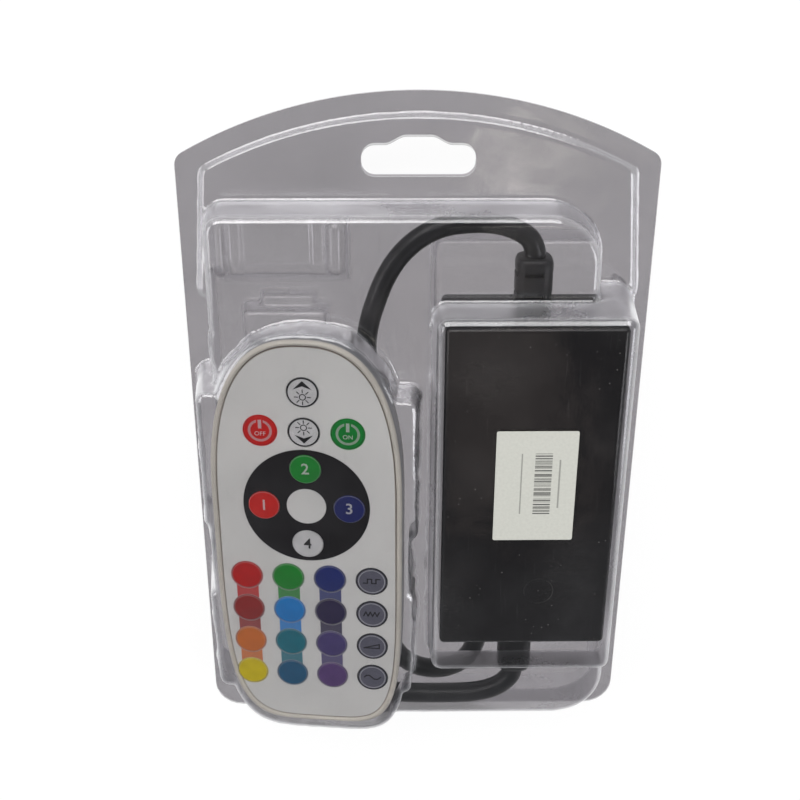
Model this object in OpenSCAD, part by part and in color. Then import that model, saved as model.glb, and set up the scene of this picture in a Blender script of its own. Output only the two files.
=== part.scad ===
// LED strip controller set in its hinged clear pack: a mains powered controller box with its two
// leads and a slim 24 key hand remote, lying on a formed tray under a formed hinged cover.
// Millimetres. X to the right, Y towards the hanging end, +Z out of the front of the pack.
// The origin is on the ground under the middle of the pack.

/* [Pack] */
// Width of the flange
pack_w = 136; // [135:0.5:150]
// Length from the hinge edge to the top of the arched edge
pack_l = 210; // [209:0.5:230]
// How far the arched edge drops from its middle to its corners
arch_drop = 17.7; // [12:0.1:20]
// Corner radius at the hinge end
hinge_corner_r = 9; // [4:0.5:14]
// Corner radius at the arched end
arch_corner_r = 4; // [2:0.5:8]
// Thickness of the formed sheet
sheet_t = 0.5; // [0.4:0.05:0.7]
// Gap between the two closed flanges
seam_gap = 0.1; // [0.05:0.01:0.2]
// Height of the top of the tray's flange above the ground
tray_depth = 10.5; // [10:0.1:12]
// Width of the flat flange round the raised header
flange_w = 6.4; // [4:0.1:8]
// Height of the raised header above the flange
header_rise = 2; // [1:0.1:3]
// Height of the low dome above the flange
main_rise = 15; // [14.6:0.1:17]
// Lean of every formed wall, in degrees
wall_lean = 5; // [3:0.5:7]
// Rounding of the formed edges
form_r = 1.6; // [0.8:0.1:2]
// How far the cover opens, in degrees, before its domes meet the ground
cover_swing = 130; // [90:1:130]

/* [Hanging slot] */
// Width of the slot
slot_w = 32; // [28:0.5:36]
// Height of the slot at its ends
slot_h = 8.9; // [6:0.1:10]
// Height of the hump over the middle of the slot
slot_hump = 2.3; // [1:0.1:4]
// Width of the hump at its foot
hump_w = 18; // [12:0.5:22]
// Width of the hump's flat top
hump_top_w = 7; // [4:0.5:10]
// Distance from the top of the arch to the bottom edge of the slot
slot_drop = 23.4; // [21:0.1:26]
// Corner radius of the slot's ends
slot_r = 3.8; // [2:0.1:4]

/* [Controller] */
// Width of the controller case
case_w = 51.2; // [48:0.1:53]
// Length of the controller case
case_l = 106; // [98:0.5:108]
// Thickness of the controller case
case_h = 27; // [26:0.1:27.5]
// Centre of the case across the pack
case_x = 32.7; // [31:0.1:34]
// Centre of the case along the pack
case_y = -7.3; // [-9:0.1:-5]
// Wall of the case
case_wall = 2; // [1.4:0.1:2.6]
// Rounding of the case's edges
case_r = 2.4; // [1:0.1:3]
// Thickness of the screwed base plate
base_t = 2.2; // [1.6:0.1:3]
// Depth of the base plate's recess round its screw heads
head_sink = 1.2; // [0.8:0.1:1.5]
// Height of both leads' centre above the bottom of the case
lead_h = 9.5; // [8.8:0.1:10]

/* [Glands and leads] */
// Diameter of a gland's sleeve
gland_d = 10.6; // [9.6:0.1:11]
// Length of the mains gland's sleeve
mains_gland_l = 15; // [12:0.5:16]
// Length of the output gland's sleeve
output_gland_l = 21; // [16:0.5:22]
// Diameter of the mains lead
mains_d = 6; // [5:0.1:6.4]
// Diameter of the output lead
output_d = 6.5; // [5:0.1:6.8]

/* [Mains plug] */
// Width of the plug's body
plug_w = 35.3; // [30:0.1:35.5]
// Thickness of the plug's body
plug_t = 13.4; // [12:0.1:13.7]
// Length of the plug's body
plug_l = 36; // [30:0.5:36]
// Diameter of a plug pin
pin_d = 4; // [3.8:0.05:4.8]
// Length of a plug pin
pin_l = 19; // [17:0.1:19]
// Spacing of the two pins
pin_pitch = 19; // [17.5:0.1:19]

/* [Remote] */
// Half the width of the remote
remote_half = 28.5; // [27:0.1:29]
// Length of the remote above the middle of its round pad
remote_up = 53.6; // [50:0.1:55]
// Length of the remote below the middle of its round pad
remote_down = 80.3; // [77:0.1:80.5]
// Thickness of the remote
remote_t = 10.5; // [9.5:0.1:11]
// Middle of the round pad across the pack
remote_x = -33; // [-34:0.1:-32]
// Middle of the round pad along the pack
remote_y = -12.7; // [-14:0.1:-11]
// Height of the remote's face above the ground at the middle of the pad
remote_z = 33.5; // [33:0.1:34]
// Tilt of the remote about its long axis, in degrees
remote_tilt = 6; // [4:0.5:7]
// Width of the raised bead round the overlay
bead_w = 1.7; // [1.2:0.1:2.4]
// Height of the bead above the overlay
bead_h = 0.5; // [0.3:0.05:0.7]
// Thickness of the overlay
overlay_t = 0.6; // [0.4:0.05:0.8]

/* [Keys] */
// Diameter of every key
key_d = 9.4; // [8:0.1:10]
// Radial clearance of a key in the overlay
key_gap = 0.12; // [0.08:0.01:0.2]
// Travel of a key
key_travel = 0.3; // [0.2:0.05:0.35]
// Height of a key's face above the overlay
key_proud = 0.15; // [0.05:0.05:0.3]
// Spacing of the columns of keys
column_pitch = 12.85; // [11.5:0.05:13]
// Spacing of the rows of colour keys
row_pitch = 12.15; // [11:0.05:12.5]
// Distance of a round pad's keys from its middle
pad_pitch = 12.8; // [12:0.05:13.5]
// Distance of the first row of colour keys below the pad's middle
first_row = 25.1; // [24:0.1:26]
// Distance of the on and off keys above the pad's middle
on_off_row = 25; // [23.5:0.1:26]
// Distance of the top key above the pad's middle
top_row = 37.7; // [36:0.1:39]

/* [Hidden] */

// One overrun serves every cut
over = 1;
// A layer that is thin enough to be an edge of a formed shape
skin = 0.02;
// Clearance between parts that only lie against each other
rest_gap = 0.2;
lean_per_mm = tan(wall_lean);
edge_y = pack_l / 2;
arch_half = pack_w / 2 - arch_corner_r / 4;
arch_r = (arch_half * arch_half + arch_drop * arch_drop) / (2 * arch_drop);
cover_z = tray_depth + seam_gap;
flange_top = cover_z + sheet_t;
slot_y = edge_y - slot_drop;
hump_r = 1.2;

// Controller, from the base plate up
case_z = tray_depth - 1.5 * rest_gap;
case_top = case_z + case_h;
case_end_y = case_y + case_l / 2;
case_foot_y = case_y - case_l / 2;
case_left = case_x - case_w / 2;
case_right = case_x + case_w / 2;
lead_z = case_z + lead_h;
gland_flange_d = gland_d + 3 * sheet_t;
gland_neck_d = gland_d - 4 * sheet_t;

// Box dome, seated round the case
dome_gap = 0.4;
dome_side = 2.3;
dome_top_end = 2.6;
dome_foot_end = 10;
box_rise = case_top + dome_gap + sheet_t - flange_top;
box_left = case_left - dome_side;
box_right = case_right + dome_side;
box_far = case_end_y + dome_top_end;
box_near = case_foot_y - dome_foot_end;
box_corner_r = 3;

// Low dome, over the leads and the back of the remote
main_left = -59.5;
main_mid = 51;
main_far = 73.8;
main_near = -97.8;
main_corner_r = 5;
main_turn_r = 15;
lower_right = 61.5;
lower_far = 49.5;
lower_near = -97.5;

// Remote dome, seated round the remote and parallel to its face, with two pairs of finger bays
dome_x = 0.6;
oval_half = remote_half + 1.9;
oval_up = remote_up + 2.2;
oval_down = remote_down + 2.7;
crown_z = bead_h + dome_gap + sheet_t;
bay_drop = 0.25;
bay_r = 3;
upper_bay_shares = [[-1.095, 0.677], [-1.095, -0.11], [1.15, -0.13], [1.15, 0.677]];
lower_bay_shares = [[-1.1, -0.386], [-1.06, -0.847], [1.116, -0.832], [1.137, -0.349]];

// Tray basin and the lands that carry the pieces
basin_left = -61.5;
basin_right = 62.5;
basin_far = 72.5;
basin_near = -101.5;
basin_r = 8;
floor_z = sheet_t;
land_z = case_z - rest_gap;
header_side = 4.6;

// Oval of the remote: fuller at the foot than at the top
upper_power = 2.55;
lower_power = 4;
oval_steps = 72;
function swell(v, power) = sign(v) * pow(abs(v), 2 / power);
function oval(half, up, down, steps = oval_steps) = [for (i = [0:steps - 1])
    let (a = i * 360 / steps, p = sin(a) >= 0 ? upper_power : lower_power)
    [half * swell(cos(a), p), (sin(a) >= 0 ? up : down) * swell(sin(a), p)]];

// Centres of the 24 keys, in the order of their nodes
function grid_key(row, column) = [(column - 2.5) * column_pitch, -first_row - (row - 1) * row_pitch];
key_places = concat(
    [[0, top_row], [0, on_off_row], [-pad_pitch, on_off_row], [pad_pitch, on_off_row],
     [0, pad_pitch], [-pad_pitch, 0], [pad_pitch, 0], [0, -pad_pitch]],
    [for (row = [1:4], column = [1:3]) grid_key(row, column)],
    [for (row = [1:4]) grid_key(row, 4)]);
key_colours = ["white", "white", "crimson", "seagreen", "green", "red", "royalblue", "whitesmoke",
    "red", "green", "navy", "firebrick", "deepskyblue", "midnightblue",
    "orange", "teal", "purple", "gold", "steelblue", "rebeccapurple",
    "gray", "gray", "gray", "gray"];

// Levels inside the remote, from its face down
bezel_roof = 1.4;
key_sink = overlay_t + key_travel + 0.5 * rest_gap;
roof_z = -overlay_t - 0.25 * rest_gap;
stem_d = 4;
stem_gap = 0.15;
dome_sheet_t = 0.3;
dome_h = 0.35;
split_z = -5;
shell_wall = 1.5;
board_t = 1.2;
stem_foot = roof_z - bezel_roof - rest_gap;
sheet_top = stem_foot - key_travel - dome_h - 0.1 * rest_gap;
cell_d = 20;
cell_t = 2.5;
cell_y = -52;
drawer_w = 24;
drawer_t = 3.6;
back_floor_z = -remote_t + shell_wall;

// Routes of the leads, chosen by hand
mains_points = [[32.7, 60.72, 19.7], [32.7, 62.4, 19.7], [30.9, 66, 19.7], [26.5, 68.7, 19.6],
    [21, 70.2, 19.6], [14.7, 70.4, 19.6], [8, 69.6, 19.6], [2.5, 67.4, 19.6], [-2, 64.2, 19.6],
    [-6, 59.8, 19.5], [-9.4, 54, 19.3], [-12, 47.2, 18.8], [-14, 40, 18], [-15, 32, 16.6],
    [-14.1, 23, 14.2], [-12.8, 14, 11.2], [-11.8, 5, 8.2], [-10.6, -5, 5.6], [-10, -16, 4.2],
    [-10, -28, 3.8], [-10, -40, 3.8], [-10.6, -50, 3.8], [-14.4, -59, 3.8], [-21, -65.2, 3.8],
    [-30, -68.3, 3.8], [-39.5, -67.3, 3.8], [-46.6, -63.6, 3.8], [-51.6, -57.8, 3.8],
    [-53.6, -50.8, 4], [-52.8, -44.2, 4.6], [-49.8, -39, 5.4], [-45.8, -35.4, 6.4],
    [-41.6, -32.6, 7.3], [-40, -30, 7.4], [-40, -28.05, 7.4]];
output_points = [[32.7, -81.32, 19.7], [32.7, -83, 19.7], [31.9, -86.2, 19.7], [29.2, -89.6, 19.6],
    [25.5, -91.8, 19.6], [20.5, -93.1, 19.6], [14, -93.6, 19.6], [6, -93.7, 19.6],
    [-2, -93.7, 19.3], [-10, -93.6, 18.5], [-18, -93.4, 17.2], [-26, -93, 15.5],
    [-34, -92.2, 13.8], [-40.6, -88, 12.4], [-43.8, -81, 11.4], [-43, -73.6, 10.7],
    [-38, -68.2, 10.3], [-30.6, -66.2, 10.2], [-22.8, -66.6, 10.2], [-15.6, -69.6, 10],
    [-10.4, -75.4, 9.4], [-7.6, -82, 8.2], [-3.8, -88.6, 6.9], [2.4, -93.4, 5.8], [9.8, -94.6, 5.2],
    [16.4, -91.8, 5], [20.4, -86, 5], [22.2, -78.6, 4.8], [22.8, -70, 4.6], [23, -60, 4.4],
    [23, -50, 4.4], [23, -42, 4.4], [23, -40.05, 4.4]];
lead_shift_steps = 10;
connector_w = 13;
connector_t = 7.4;
connector_l = 20;
plug_side = 7;
plug_reach = 15.3;
connector_side = 9.7;
connector_reach = 20.3;
plug_x = remote_x - plug_side;
plug_y = remote_y - plug_reach;
plug_z = plug_t / 2 + sheet_t + rest_gap;
connector_x = case_x - connector_side;
connector_y = case_foot_y + connector_reach;
connector_z = connector_t / 2 + sheet_t + rest_gap;

// A tube swept along a route, as one closed body of flat faces
function unit(v) = v / norm(v);
function along(route, i) = unit(route[min(i + 1, len(route) - 1)] - route[max(i - 1, 0)]);
function ring(route, i, d, sides) =
    let (t = along(route, i), u = unit(cross(t, abs(t[2]) > 0.9 ? [1, 0, 0] : [0, 0, 1])), v = cross(u, t))
    [for (k = [0:sides - 1]) route[i] + d / 2 * (cos(360 * k / sides) * u + sin(360 * k / sides) * v)];

// A route whose first points follow its gland, and its last points the piece at its end
function between(points, mouth, end) = [for (i = [0:len(points) - 1])
    let (left = len(points) - 1 - i)
    points[i] + max(0, 1 - i / lead_shift_steps) * (mouth - points[0])
        + max(0, 1 - left / lead_shift_steps) * (end - points[len(points) - 1])];
module tube(route, d, sides) {
    points = [for (i = [0:len(route) - 1]) each ring(route, i, d, sides)];
    last = (len(route) - 1) * sides;
    walls = [for (i = [0:len(route) - 2], k = [0:sides - 1])
        let (a = i * sides + k, b = i * sides + (k + 1) % sides)
        each [[a, b, b + sides], [a, b + sides, a + sides]]];
    ends = [[for (k = [sides - 1:-1:0]) k], [for (k = [0:sides - 1]) last + k]];
    polyhedron(points, concat(walls, ends), convexity = 10);
}

// Outlines

module flange_outline() {
    offset(arch_corner_r, $fn = 32) offset(-arch_corner_r, $fn = 32)
        intersection() {
            translate([-pack_w / 2, -edge_y]) square([pack_w, pack_l]);
            translate([0, edge_y - arch_r]) circle(arch_r, $fn = 160);
            union() {
                translate([-pack_w / 2, -edge_y + hinge_corner_r]) square([pack_w, pack_l]);
                translate([-pack_w / 2 + hinge_corner_r, -edge_y])
                    square([pack_w - 2 * hinge_corner_r, pack_l]);
                for (s = [-1, 1])
                    translate([s * (pack_w / 2 - hinge_corner_r), -edge_y + hinge_corner_r])
                        circle(hinge_corner_r, $fn = 48);
            }
        }
}

module header_outline() {
    intersection() {
        translate([0, edge_y - arch_r]) circle(arch_r - flange_w, $fn = 160);
        translate([-pack_w / 2 + header_side, lower_far])
            square([pack_w - 2 * header_side, pack_l]);
        translate([-pack_w / 2 + flange_w + over, 0]) square([pack_w - 2 * flange_w - 2 * over, edge_y]);
    }
}

module slot_outline() {
    translate([0, slot_y + slot_h / 2])
        offset(slot_r, $fn = 32) square([slot_w - 2 * slot_r, slot_h - 2 * slot_r], center = true);
    // Hump over the middle, with an eased foot and top
    offset(-hump_r, $fn = 24) offset(2 * hump_r, $fn = 24) offset(-hump_r) {
        translate([-slot_w / 2 + 2 * slot_r, slot_y + hump_r])
            square([slot_w - 4 * slot_r, slot_h - hump_r]);
        polygon([[-hump_w / 2, slot_y + slot_h], [-hump_top_w / 2, slot_y + slot_h + slot_hump],
            [hump_top_w / 2, slot_y + slot_h + slot_hump], [hump_w / 2, slot_y + slot_h],
            [hump_w / 2, slot_y + slot_h / 2], [-hump_w / 2, slot_y + slot_h / 2]]);
    }
}

module box_outline(grow = 0) {
    offset(box_corner_r + grow, $fn = 24)
        translate([box_left + box_corner_r, box_near + box_corner_r])
            square([box_right - box_left - 2 * box_corner_r, box_far - box_near - 2 * box_corner_r]);
}

module main_outline(grow = 0) {
    hull() {
        translate([main_left + main_corner_r, main_far - main_corner_r])
            circle(main_corner_r + grow, $fn = 24);
        translate([main_mid - main_turn_r, main_far - main_turn_r]) circle(main_turn_r + grow, $fn = 48);
        translate([main_left + main_turn_r, main_near + main_turn_r]) circle(main_turn_r + grow, $fn = 48);
        translate([main_mid - main_corner_r, main_near + main_corner_r])
            circle(main_corner_r + grow, $fn = 24);
    }
}

module lower_outline(grow = 0) {
    hull() {
        for (x = [case_left, lower_right - main_corner_r])
            translate([x, lower_far - main_corner_r]) circle(main_corner_r + grow, $fn = 24);
        translate([case_left, lower_near + main_corner_r])
            circle(main_corner_r + grow, $fn = 24);
        translate([lower_right - main_turn_r, lower_near + main_turn_r])
            circle(main_turn_r + grow, $fn = 48);
    }
}

module remote_outline() {
    translate([dome_x, 0]) polygon(oval(oval_half, oval_up, oval_down, 48));
}

// A bay's outline, from shares of the remote's half width and of its two lengths
module bay_outline(shares) {
    offset(bay_r, $fn = 24) offset(delta = -bay_r)
        polygon([for (p = shares) [p[0] * remote_half, p[1] * (p[1] > 0 ? remote_up : remote_down)]]);
}

// A formed dome: layers of one outline, leaning in as they rise and rounded over at the top
module dome_layers(rise, round_r, below) {
    foot = lean_per_mm * rise;
    hull() {
        translate([0, 0, -below]) linear_extrude(below + skin) formed_outline(foot) children();
        translate([0, 0, rise - round_r]) linear_extrude(skin) formed_outline(0) children();
        translate([0, 0, rise - 0.3 * round_r]) linear_extrude(skin)
            formed_outline(-0.3 * round_r) children();
        translate([0, 0, rise - skin]) linear_extrude(skin) formed_outline(-round_r) children();
    }
}

module formed_outline(grow) {
    offset(delta = grow) children();
}

// A dome over the remote: its top layers lie parallel to the tilted face
module tilted_layers(round_r, below, inset, drop) {
    foot = lean_per_mm * (remote_z - flange_top);
    hull() {
        translate([remote_x, remote_y, flange_top - inset - below]) linear_extrude(below + skin)
            formed_outline(foot - inset) children();
        remote_place() translate([0, 0, crown_z - drop - inset]) {
            translate([0, 0, -round_r]) linear_extrude(skin) formed_outline(-inset) children();
            translate([0, 0, -0.3 * round_r]) linear_extrude(skin)
                formed_outline(-0.3 * round_r - inset) children();
            translate([0, 0, -skin]) linear_extrude(skin) formed_outline(-round_r - inset) children();
        }
    }
}

module domes(inset, below) {
    tilted_layers(form_r, below, inset, 0) remote_outline();
    tilted_layers(form_r, below, inset, bay_drop) bay_outline(upper_bay_shares);
    tilted_layers(form_r, below, inset, bay_drop) bay_outline(lower_bay_shares);
    translate([0, 0, flange_top - inset]) {
        dome_layers(main_rise, form_r, below) main_outline(-inset);
        dome_layers(main_rise, form_r, below) lower_outline(-inset);
        dome_layers(box_rise, form_r, below) box_outline(-inset);
        dome_layers(header_rise, header_rise / 2, below) offset(delta = -inset) header_outline();
    }
}

// The clear front shell: flange, raised header, low dome, box dome and remote dome
module front_shell() {
    color("lightsteelblue", 0.4)
        difference() {
            union() {
                translate([0, 0, cover_z]) linear_extrude(sheet_t) flange_outline();
                domes(0, sheet_t / 2);
            }
            domes(sheet_t, over);
            translate([0, 0, cover_z - over]) linear_extrude(pack_l) slot_outline();
        }
}

// Tray features: each is a solid when it takes the sheet's outer skin, and a hollow when inset

// The tray's basin, leaning in towards the ground
module basin(inset) {
    depth = tray_depth - inset;
    lean = lean_per_mm * tray_depth;
    hull() {
        translate([0, 0, tray_depth]) linear_extrude(skin) basin_outline(-inset);
        translate([0, 0, inset]) linear_extrude(skin) basin_outline(-inset - lean);
    }
}

module basin_outline(grow) {
    offset(basin_r + grow, $fn = 24)
        translate([basin_left + basin_r, basin_near + basin_r])
            square([basin_right - basin_left - 2 * basin_r, basin_far - basin_near - 2 * basin_r]);
}

// A raised land with leaning walls
module land(x0, y0, x1, y1, top, inset, r) {
    lean = lean_per_mm * top;
    mid = [(x0 + x1) / 2, (y0 + y1) / 2];
    hull() {
        translate([mid[0], mid[1], -inset]) linear_extrude(skin)
            offset(r - inset, $fn = 16)
                square([x1 - x0 + 2 * lean - 2 * r, y1 - y0 + 2 * lean - 2 * r], center = true);
        translate([mid[0], mid[1], top - inset - skin]) linear_extrude(skin)
            offset(r - inset, $fn = 16) square([x1 - x0 - 2 * r, y1 - y0 - 2 * r], center = true);
    }
}

// A pillar under the remote, as tall as the tilted back leaves room for
function back_z(x) = remote_z - remote_t / cos(remote_tilt) + (x - remote_x) * tan(remote_tilt);
module pillar(place, top_r, foot_r, inset) {
    top = back_z(place[0] - top_r) - rest_gap;
    translate([place[0], place[1], -inset])
        cylinder(h = top, r1 = foot_r - inset, r2 = top_r - inset, $fn = 32);
}

// A place under the remote, as shares of its half width and of its two lengths
function under_remote(share) = [remote_x + share[0] * remote_half,
    remote_y + share[1] * (share[1] > 0 ? remote_up : remote_down)];

// Lands under the controller
far_land_hold = 16.7;
far_land_reach = 14.3;
land_side = 2.1;
land_margin = 1.3;
land_l = 10;
side_land_w = 9;
foot_land_w = 22;
foot_margin = 2.3;
land_r = 3;

// Block with two rounded ribs and a raised panel, and the step below it
block_margin = 3.5;
block_w = 38;
block_l = 17.4;
block_drop = 2;
block_left = basin_left + block_margin;
block_far = basin_far - block_margin;
block_near = block_far - block_l;
panel_inset = 7.3;
panel_w = 19.7;
panel_drop = 1;
left_rib_r = 2.6;
left_rib_in = 0.8;
right_rib_r = 3.7;
rib_near = 1;
rib_rise = 3.6;
rib_low = tray_depth - rib_rise;
rib_stretch = 5.5;
step_inset = 9;
step_w = 22;
step_l = 2.2;
step_gap = 6.6;
step_drop = 3;
step_r = 1;

// Pillars and the spine that carry the remote
stout_top_r = 4;
stout_foot_r = 11;
slim_top_r = 2.6;
slim_foot_r = 6.6;
toe_top_r = 2;
toe_foot_r = 4.6;
spine_top_r = 1.4;
spine_foot_r = 2.6;
stout_share = [0.02, -0.415];
slim_share = [0.105, -0.838];
toe_share = [-0.72, -0.726];
spine_shares = [[0.5, 0.573], [0.5, 0.088]];

module rib(x, rib_r, inset) {
    hull() {
        for (y = [block_near - rib_near + rib_r, block_far - rib_r]) translate([x, y, 0]) {
            translate([0, 0, -inset]) cylinder(h = rib_low, r = rib_r - inset, $fn = 24);
            translate([0, 0, rib_low - inset])
                scale([1, 1, rib_stretch / rib_r]) sphere(rib_r - inset, $fn = 24);
        }
    }
}

module tray_features(inset) {
    // Lands under the far end, the right side and the foot of the controller
    land(case_left - land_side, case_end_y - far_land_hold, case_right - 1.5 * rest_gap,
        case_end_y + far_land_reach, land_z, inset, land_r);
    land(case_right - land_margin - side_land_w, case_foot_y + foot_margin, case_right - land_margin,
        case_end_y - far_land_hold + 2 * land_r, land_z, inset, land_r);
    land(case_right - land_margin - land_l / 2 - foot_land_w, case_foot_y + foot_margin,
        case_right - land_margin - land_l / 2, case_foot_y + foot_margin + land_l, land_z, inset, land_r);
    land(block_left, block_near, block_left + block_w, block_far, tray_depth - block_drop, inset, land_r);
    land(block_left + panel_inset, block_near, block_left + panel_inset + panel_w, block_far,
        tray_depth - panel_drop, inset, land_r);
    rib(block_left + left_rib_in, left_rib_r, inset);
    rib(block_left + block_w - right_rib_r, right_rib_r, inset);
    land(block_left + step_inset, block_near - step_gap - step_l, block_left + step_inset + step_w,
        block_near - step_gap, tray_depth - step_drop, inset, step_r);
    pillar(under_remote(stout_share), stout_top_r, stout_foot_r, inset);
    pillar(under_remote(slim_share), slim_top_r, slim_foot_r, inset);
    pillar(under_remote(toe_share), toe_top_r, toe_foot_r, inset);
    hull()
        for (share = spine_shares) pillar(under_remote(share), spine_top_r, spine_foot_r, inset);
}

// The formed back tray: flange and basin, with lands, ribs and pillars formed up from its floor
module back_tray() {
    color("lightsteelblue", 0.4)
        difference() {
            union() {
                difference() {
                    union() {
                        translate([0, 0, tray_depth - sheet_t])
                            linear_extrude(sheet_t) flange_outline();
                        basin(0);
                    }
                    basin(sheet_t);
                    translate([0, 0, tray_depth]) linear_extrude(over) flange_outline();
                }
                intersection() {
                    tray_features(0);
                    basin_column();
                }
            }
            difference() {
                tray_features(sheet_t);
                translate([0, 0, -2 * over]) linear_extrude(skin) flange_outline();
            }
            translate([0, 0, tray_depth - over]) linear_extrude(2 * over) slot_outline();
        }
}

module basin_column() {
    linear_extrude(pack_l) basin_outline(0);
}

// The small blank label on the front of the box dome
label_w = 23.6;
label_l = 36.2;
label_x = 34;
label_y = -3.4;
label_t = 0.15;
module price_label() {
    color("oldlace")
        translate([label_x, label_y, flange_top + box_rise + label_t / 2])
            cube([label_w, label_l, label_t], center = true);
}

// Controller

module case_place() {
    translate([case_x, case_y, case_z]) children();
}

// A block with rounded upright edges and a rounded top
module soft_block(w, l, h, r) {
    hull()
        for (sx = [-1, 1], sy = [-1, 1]) translate([sx * (w / 2 - r), sy * (l / 2 - r), 0]) {
            cylinder(h = h - r, r = r, $fn = 32);
            translate([0, 0, h - r]) sphere(r, $fn = 32);
        }
}

screw_inset = 6;
screw_d = 3;
screw_head_d = 5.6;
screw_l = 12;
drive_d = 1.8;
post_d = 6.4;
lip = 0.9;
module at_screws() {
    for (sx = [-1, 1], sy = [-1, 1])
        translate([sx * (case_w / 2 - screw_inset), sy * (case_l / 2 - screw_inset), 0]) children();
}

module controller_case() {
    inner_w = case_w - 2 * case_wall;
    inner_l = case_l - 2 * case_wall;
    color([0.09, 0.09, 0.1])
        case_place()
            difference() {
                union() {
                    difference() {
                        soft_block(case_w, case_l, case_h, case_r);
                        translate([-inner_w / 2, -inner_l / 2, -over])
                            cube([inner_w, inner_l, case_h - case_wall + over]);
                    }
                    at_screws() translate([0, 0, base_t + rest_gap])
                        cylinder(h = case_h - case_wall - base_t, d = post_d, $fn = 32);
                }
                at_screws() translate([0, 0, -over])
                    cylinder(h = over + head_sink + screw_l + screw_d / 2, d = screw_d, $fn = 32);
                for (s = [-1, 1]) translate([0, s * case_l / 2, lead_h]) rotate([90, 0, 0])
                    cylinder(h = 3 * case_wall, d = gland_neck_d, center = true, $fn = 48);
            }
}

module controller_base() {
    inner_w = case_w - 2 * case_wall - rest_gap;
    inner_l = case_l - 2 * case_wall - rest_gap;
    color([0.1, 0.1, 0.11])
        case_place()
            difference() {
                union() {
                    translate([-inner_w / 2, -inner_l / 2, 0]) cube([inner_w, inner_l, base_t]);
                    for (sx = [-1, 1], sy = [-1, 1])
                        translate([sx * case_w / 4, sy * case_l / 4, base_t])
                            cylinder(h = board_lift, d = post_d, $fn = 32);
                }
                at_screws() {
                    translate([0, 0, -over]) cylinder(h = base_t + 2 * over, d = screw_d + lip, $fn = 32);
                    translate([0, 0, -over])
                        cylinder(h = head_sink + over, d = screw_head_d + lip, $fn = 32);
                }
            }
}

board_lift = 2.4;
circuit_t = 1.6;
circuit_side = 2;
circuit_w = case_w - 2 * case_wall - 2 * circuit_side;
circuit_l = case_l - 2 * screw_inset - post_d - 3 * rest_gap;
circuit_z = base_t + board_lift + rest_gap / 2;
circuit_top = circuit_z + circuit_t;
module case_screws() {
    color("silver")
        case_place() at_screws() {
            difference() {
                translate([0, 0, rest_gap]) cylinder(h = head_sink - rest_gap, d = screw_head_d, $fn = 32);
                translate([0, 0, -over]) cylinder(h = over + 0.5 * head_sink, d = drive_d, $fn = 6);
            }
            translate([0, 0, head_sink]) cylinder(h = screw_l, d = screw_d - 0.5 * rest_gap, $fn = 32);
        }
}

module controller_board() {
    color("darkgreen")
        case_place()
            difference() {
                translate([-circuit_w / 2, -circuit_l / 2, circuit_z])
                    cube([circuit_w, circuit_l, circuit_t]);
                for (sx = [-1, 1], sy = [-1, 1])
                    translate([sx * case_w / 4, sy * case_l / 4, circuit_z - over])
                        cylinder(h = circuit_t + 2 * over, d = screw_d / 2, $fn = 24);
            }
}

// Electronics stand on the board, placed as shares of its size
module on_board(x_share, y_share) {
    case_place() translate([x_share * circuit_w, y_share * circuit_l, circuit_top + lead_lift]) children();
}
lead_lift = 0.1;

rectifier_w = 15;
rectifier_h = 11;
rectifier_t = 4.4;
module bridge_rectifier() {
    color([0.12, 0.12, 0.13])
        on_board(-0.22, 0.32)
            difference() {
                translate([-rectifier_w / 2, -rectifier_t / 2, 0])
                    cube([rectifier_w, rectifier_t, rectifier_h]);
                translate([0, 0, rectifier_h * 0.7]) rotate([90, 0, 0])
                    cylinder(h = 2 * rectifier_t, d = screw_d, center = true, $fn = 32);
            }
}

can_d = 12;
can_l = 18;
module bulk_capacitor() {
    color("midnightblue")
        on_board(0.24, 0.22) translate([0, 0, can_d / 2]) rotate([90, 0, 0])
            rotate_extrude($fn = 48)
                polygon([[0, -can_l / 2], [can_d / 2, -can_l / 2], [can_d / 2, can_l * 0.3],
                    [can_d * 0.46, can_l * 0.33], [can_d / 2, can_l * 0.36], [can_d / 2, can_l / 2],
                    [0, can_l / 2]]);
}

fuse_d = 5.2;
fuse_l = 20;
module mains_fuse() {
    color("silver")
        on_board(-0.2, 0.43) translate([0, 0, fuse_d / 2]) rotate([0, 90, 0]) {
            cylinder(h = fuse_l * 0.7, d = fuse_d * 0.9, center = true, $fn = 32);
            for (s = [-1, 1]) translate([0, 0, s * fuse_l * 0.4])
                cylinder(h = fuse_l * 0.2, d = fuse_d, center = true, $fn = 32);
        }
}

tab_gap = 1;
tab_w = circuit_w / 4 - tab_gap;
tab_t = 4.4;
tab_h = 14;
module switching_transistors() {
    color([0.13, 0.13, 0.14])
        for (i = [0:3]) on_board(0, -0.3) translate([(i - 1.5) * circuit_w / 4, 0, 0]) {
            difference() {
                translate([-tab_w / 2, 0, 0]) cube([tab_w, tab_t * 0.3, tab_h]);
                translate([0, tab_t / 2, tab_h * 0.85]) rotate([90, 0, 0])
                    cylinder(h = 2 * tab_t, d = tab_t * 0.75, center = true, $fn = 24);
            }
            translate([-tab_w / 2, -tab_t * 0.7, 0]) cube([tab_w, tab_t * 0.7, tab_h * 0.65]);
        }
}

chip_w = 6;
chip_l = 10;
chip_t = 1.7;
module control_chip() {
    pins = 8;
    color([0.12, 0.12, 0.12])
        on_board(0, -0.06) {
            translate([-chip_w / 2, -chip_l / 2, 0.1 * chip_t]) cube([chip_w, chip_l, 0.9 * chip_t]);
            for (s = [-1, 1], k = [0:pins - 1])
                translate([s * chip_w * 0.6, (k - (pins - 1) / 2) * chip_l / pins, 0.15 * chip_t])
                    cube([chip_w * 0.3, chip_l / pins * 0.4, 0.3 * chip_t], center = true);
        }
}

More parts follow.
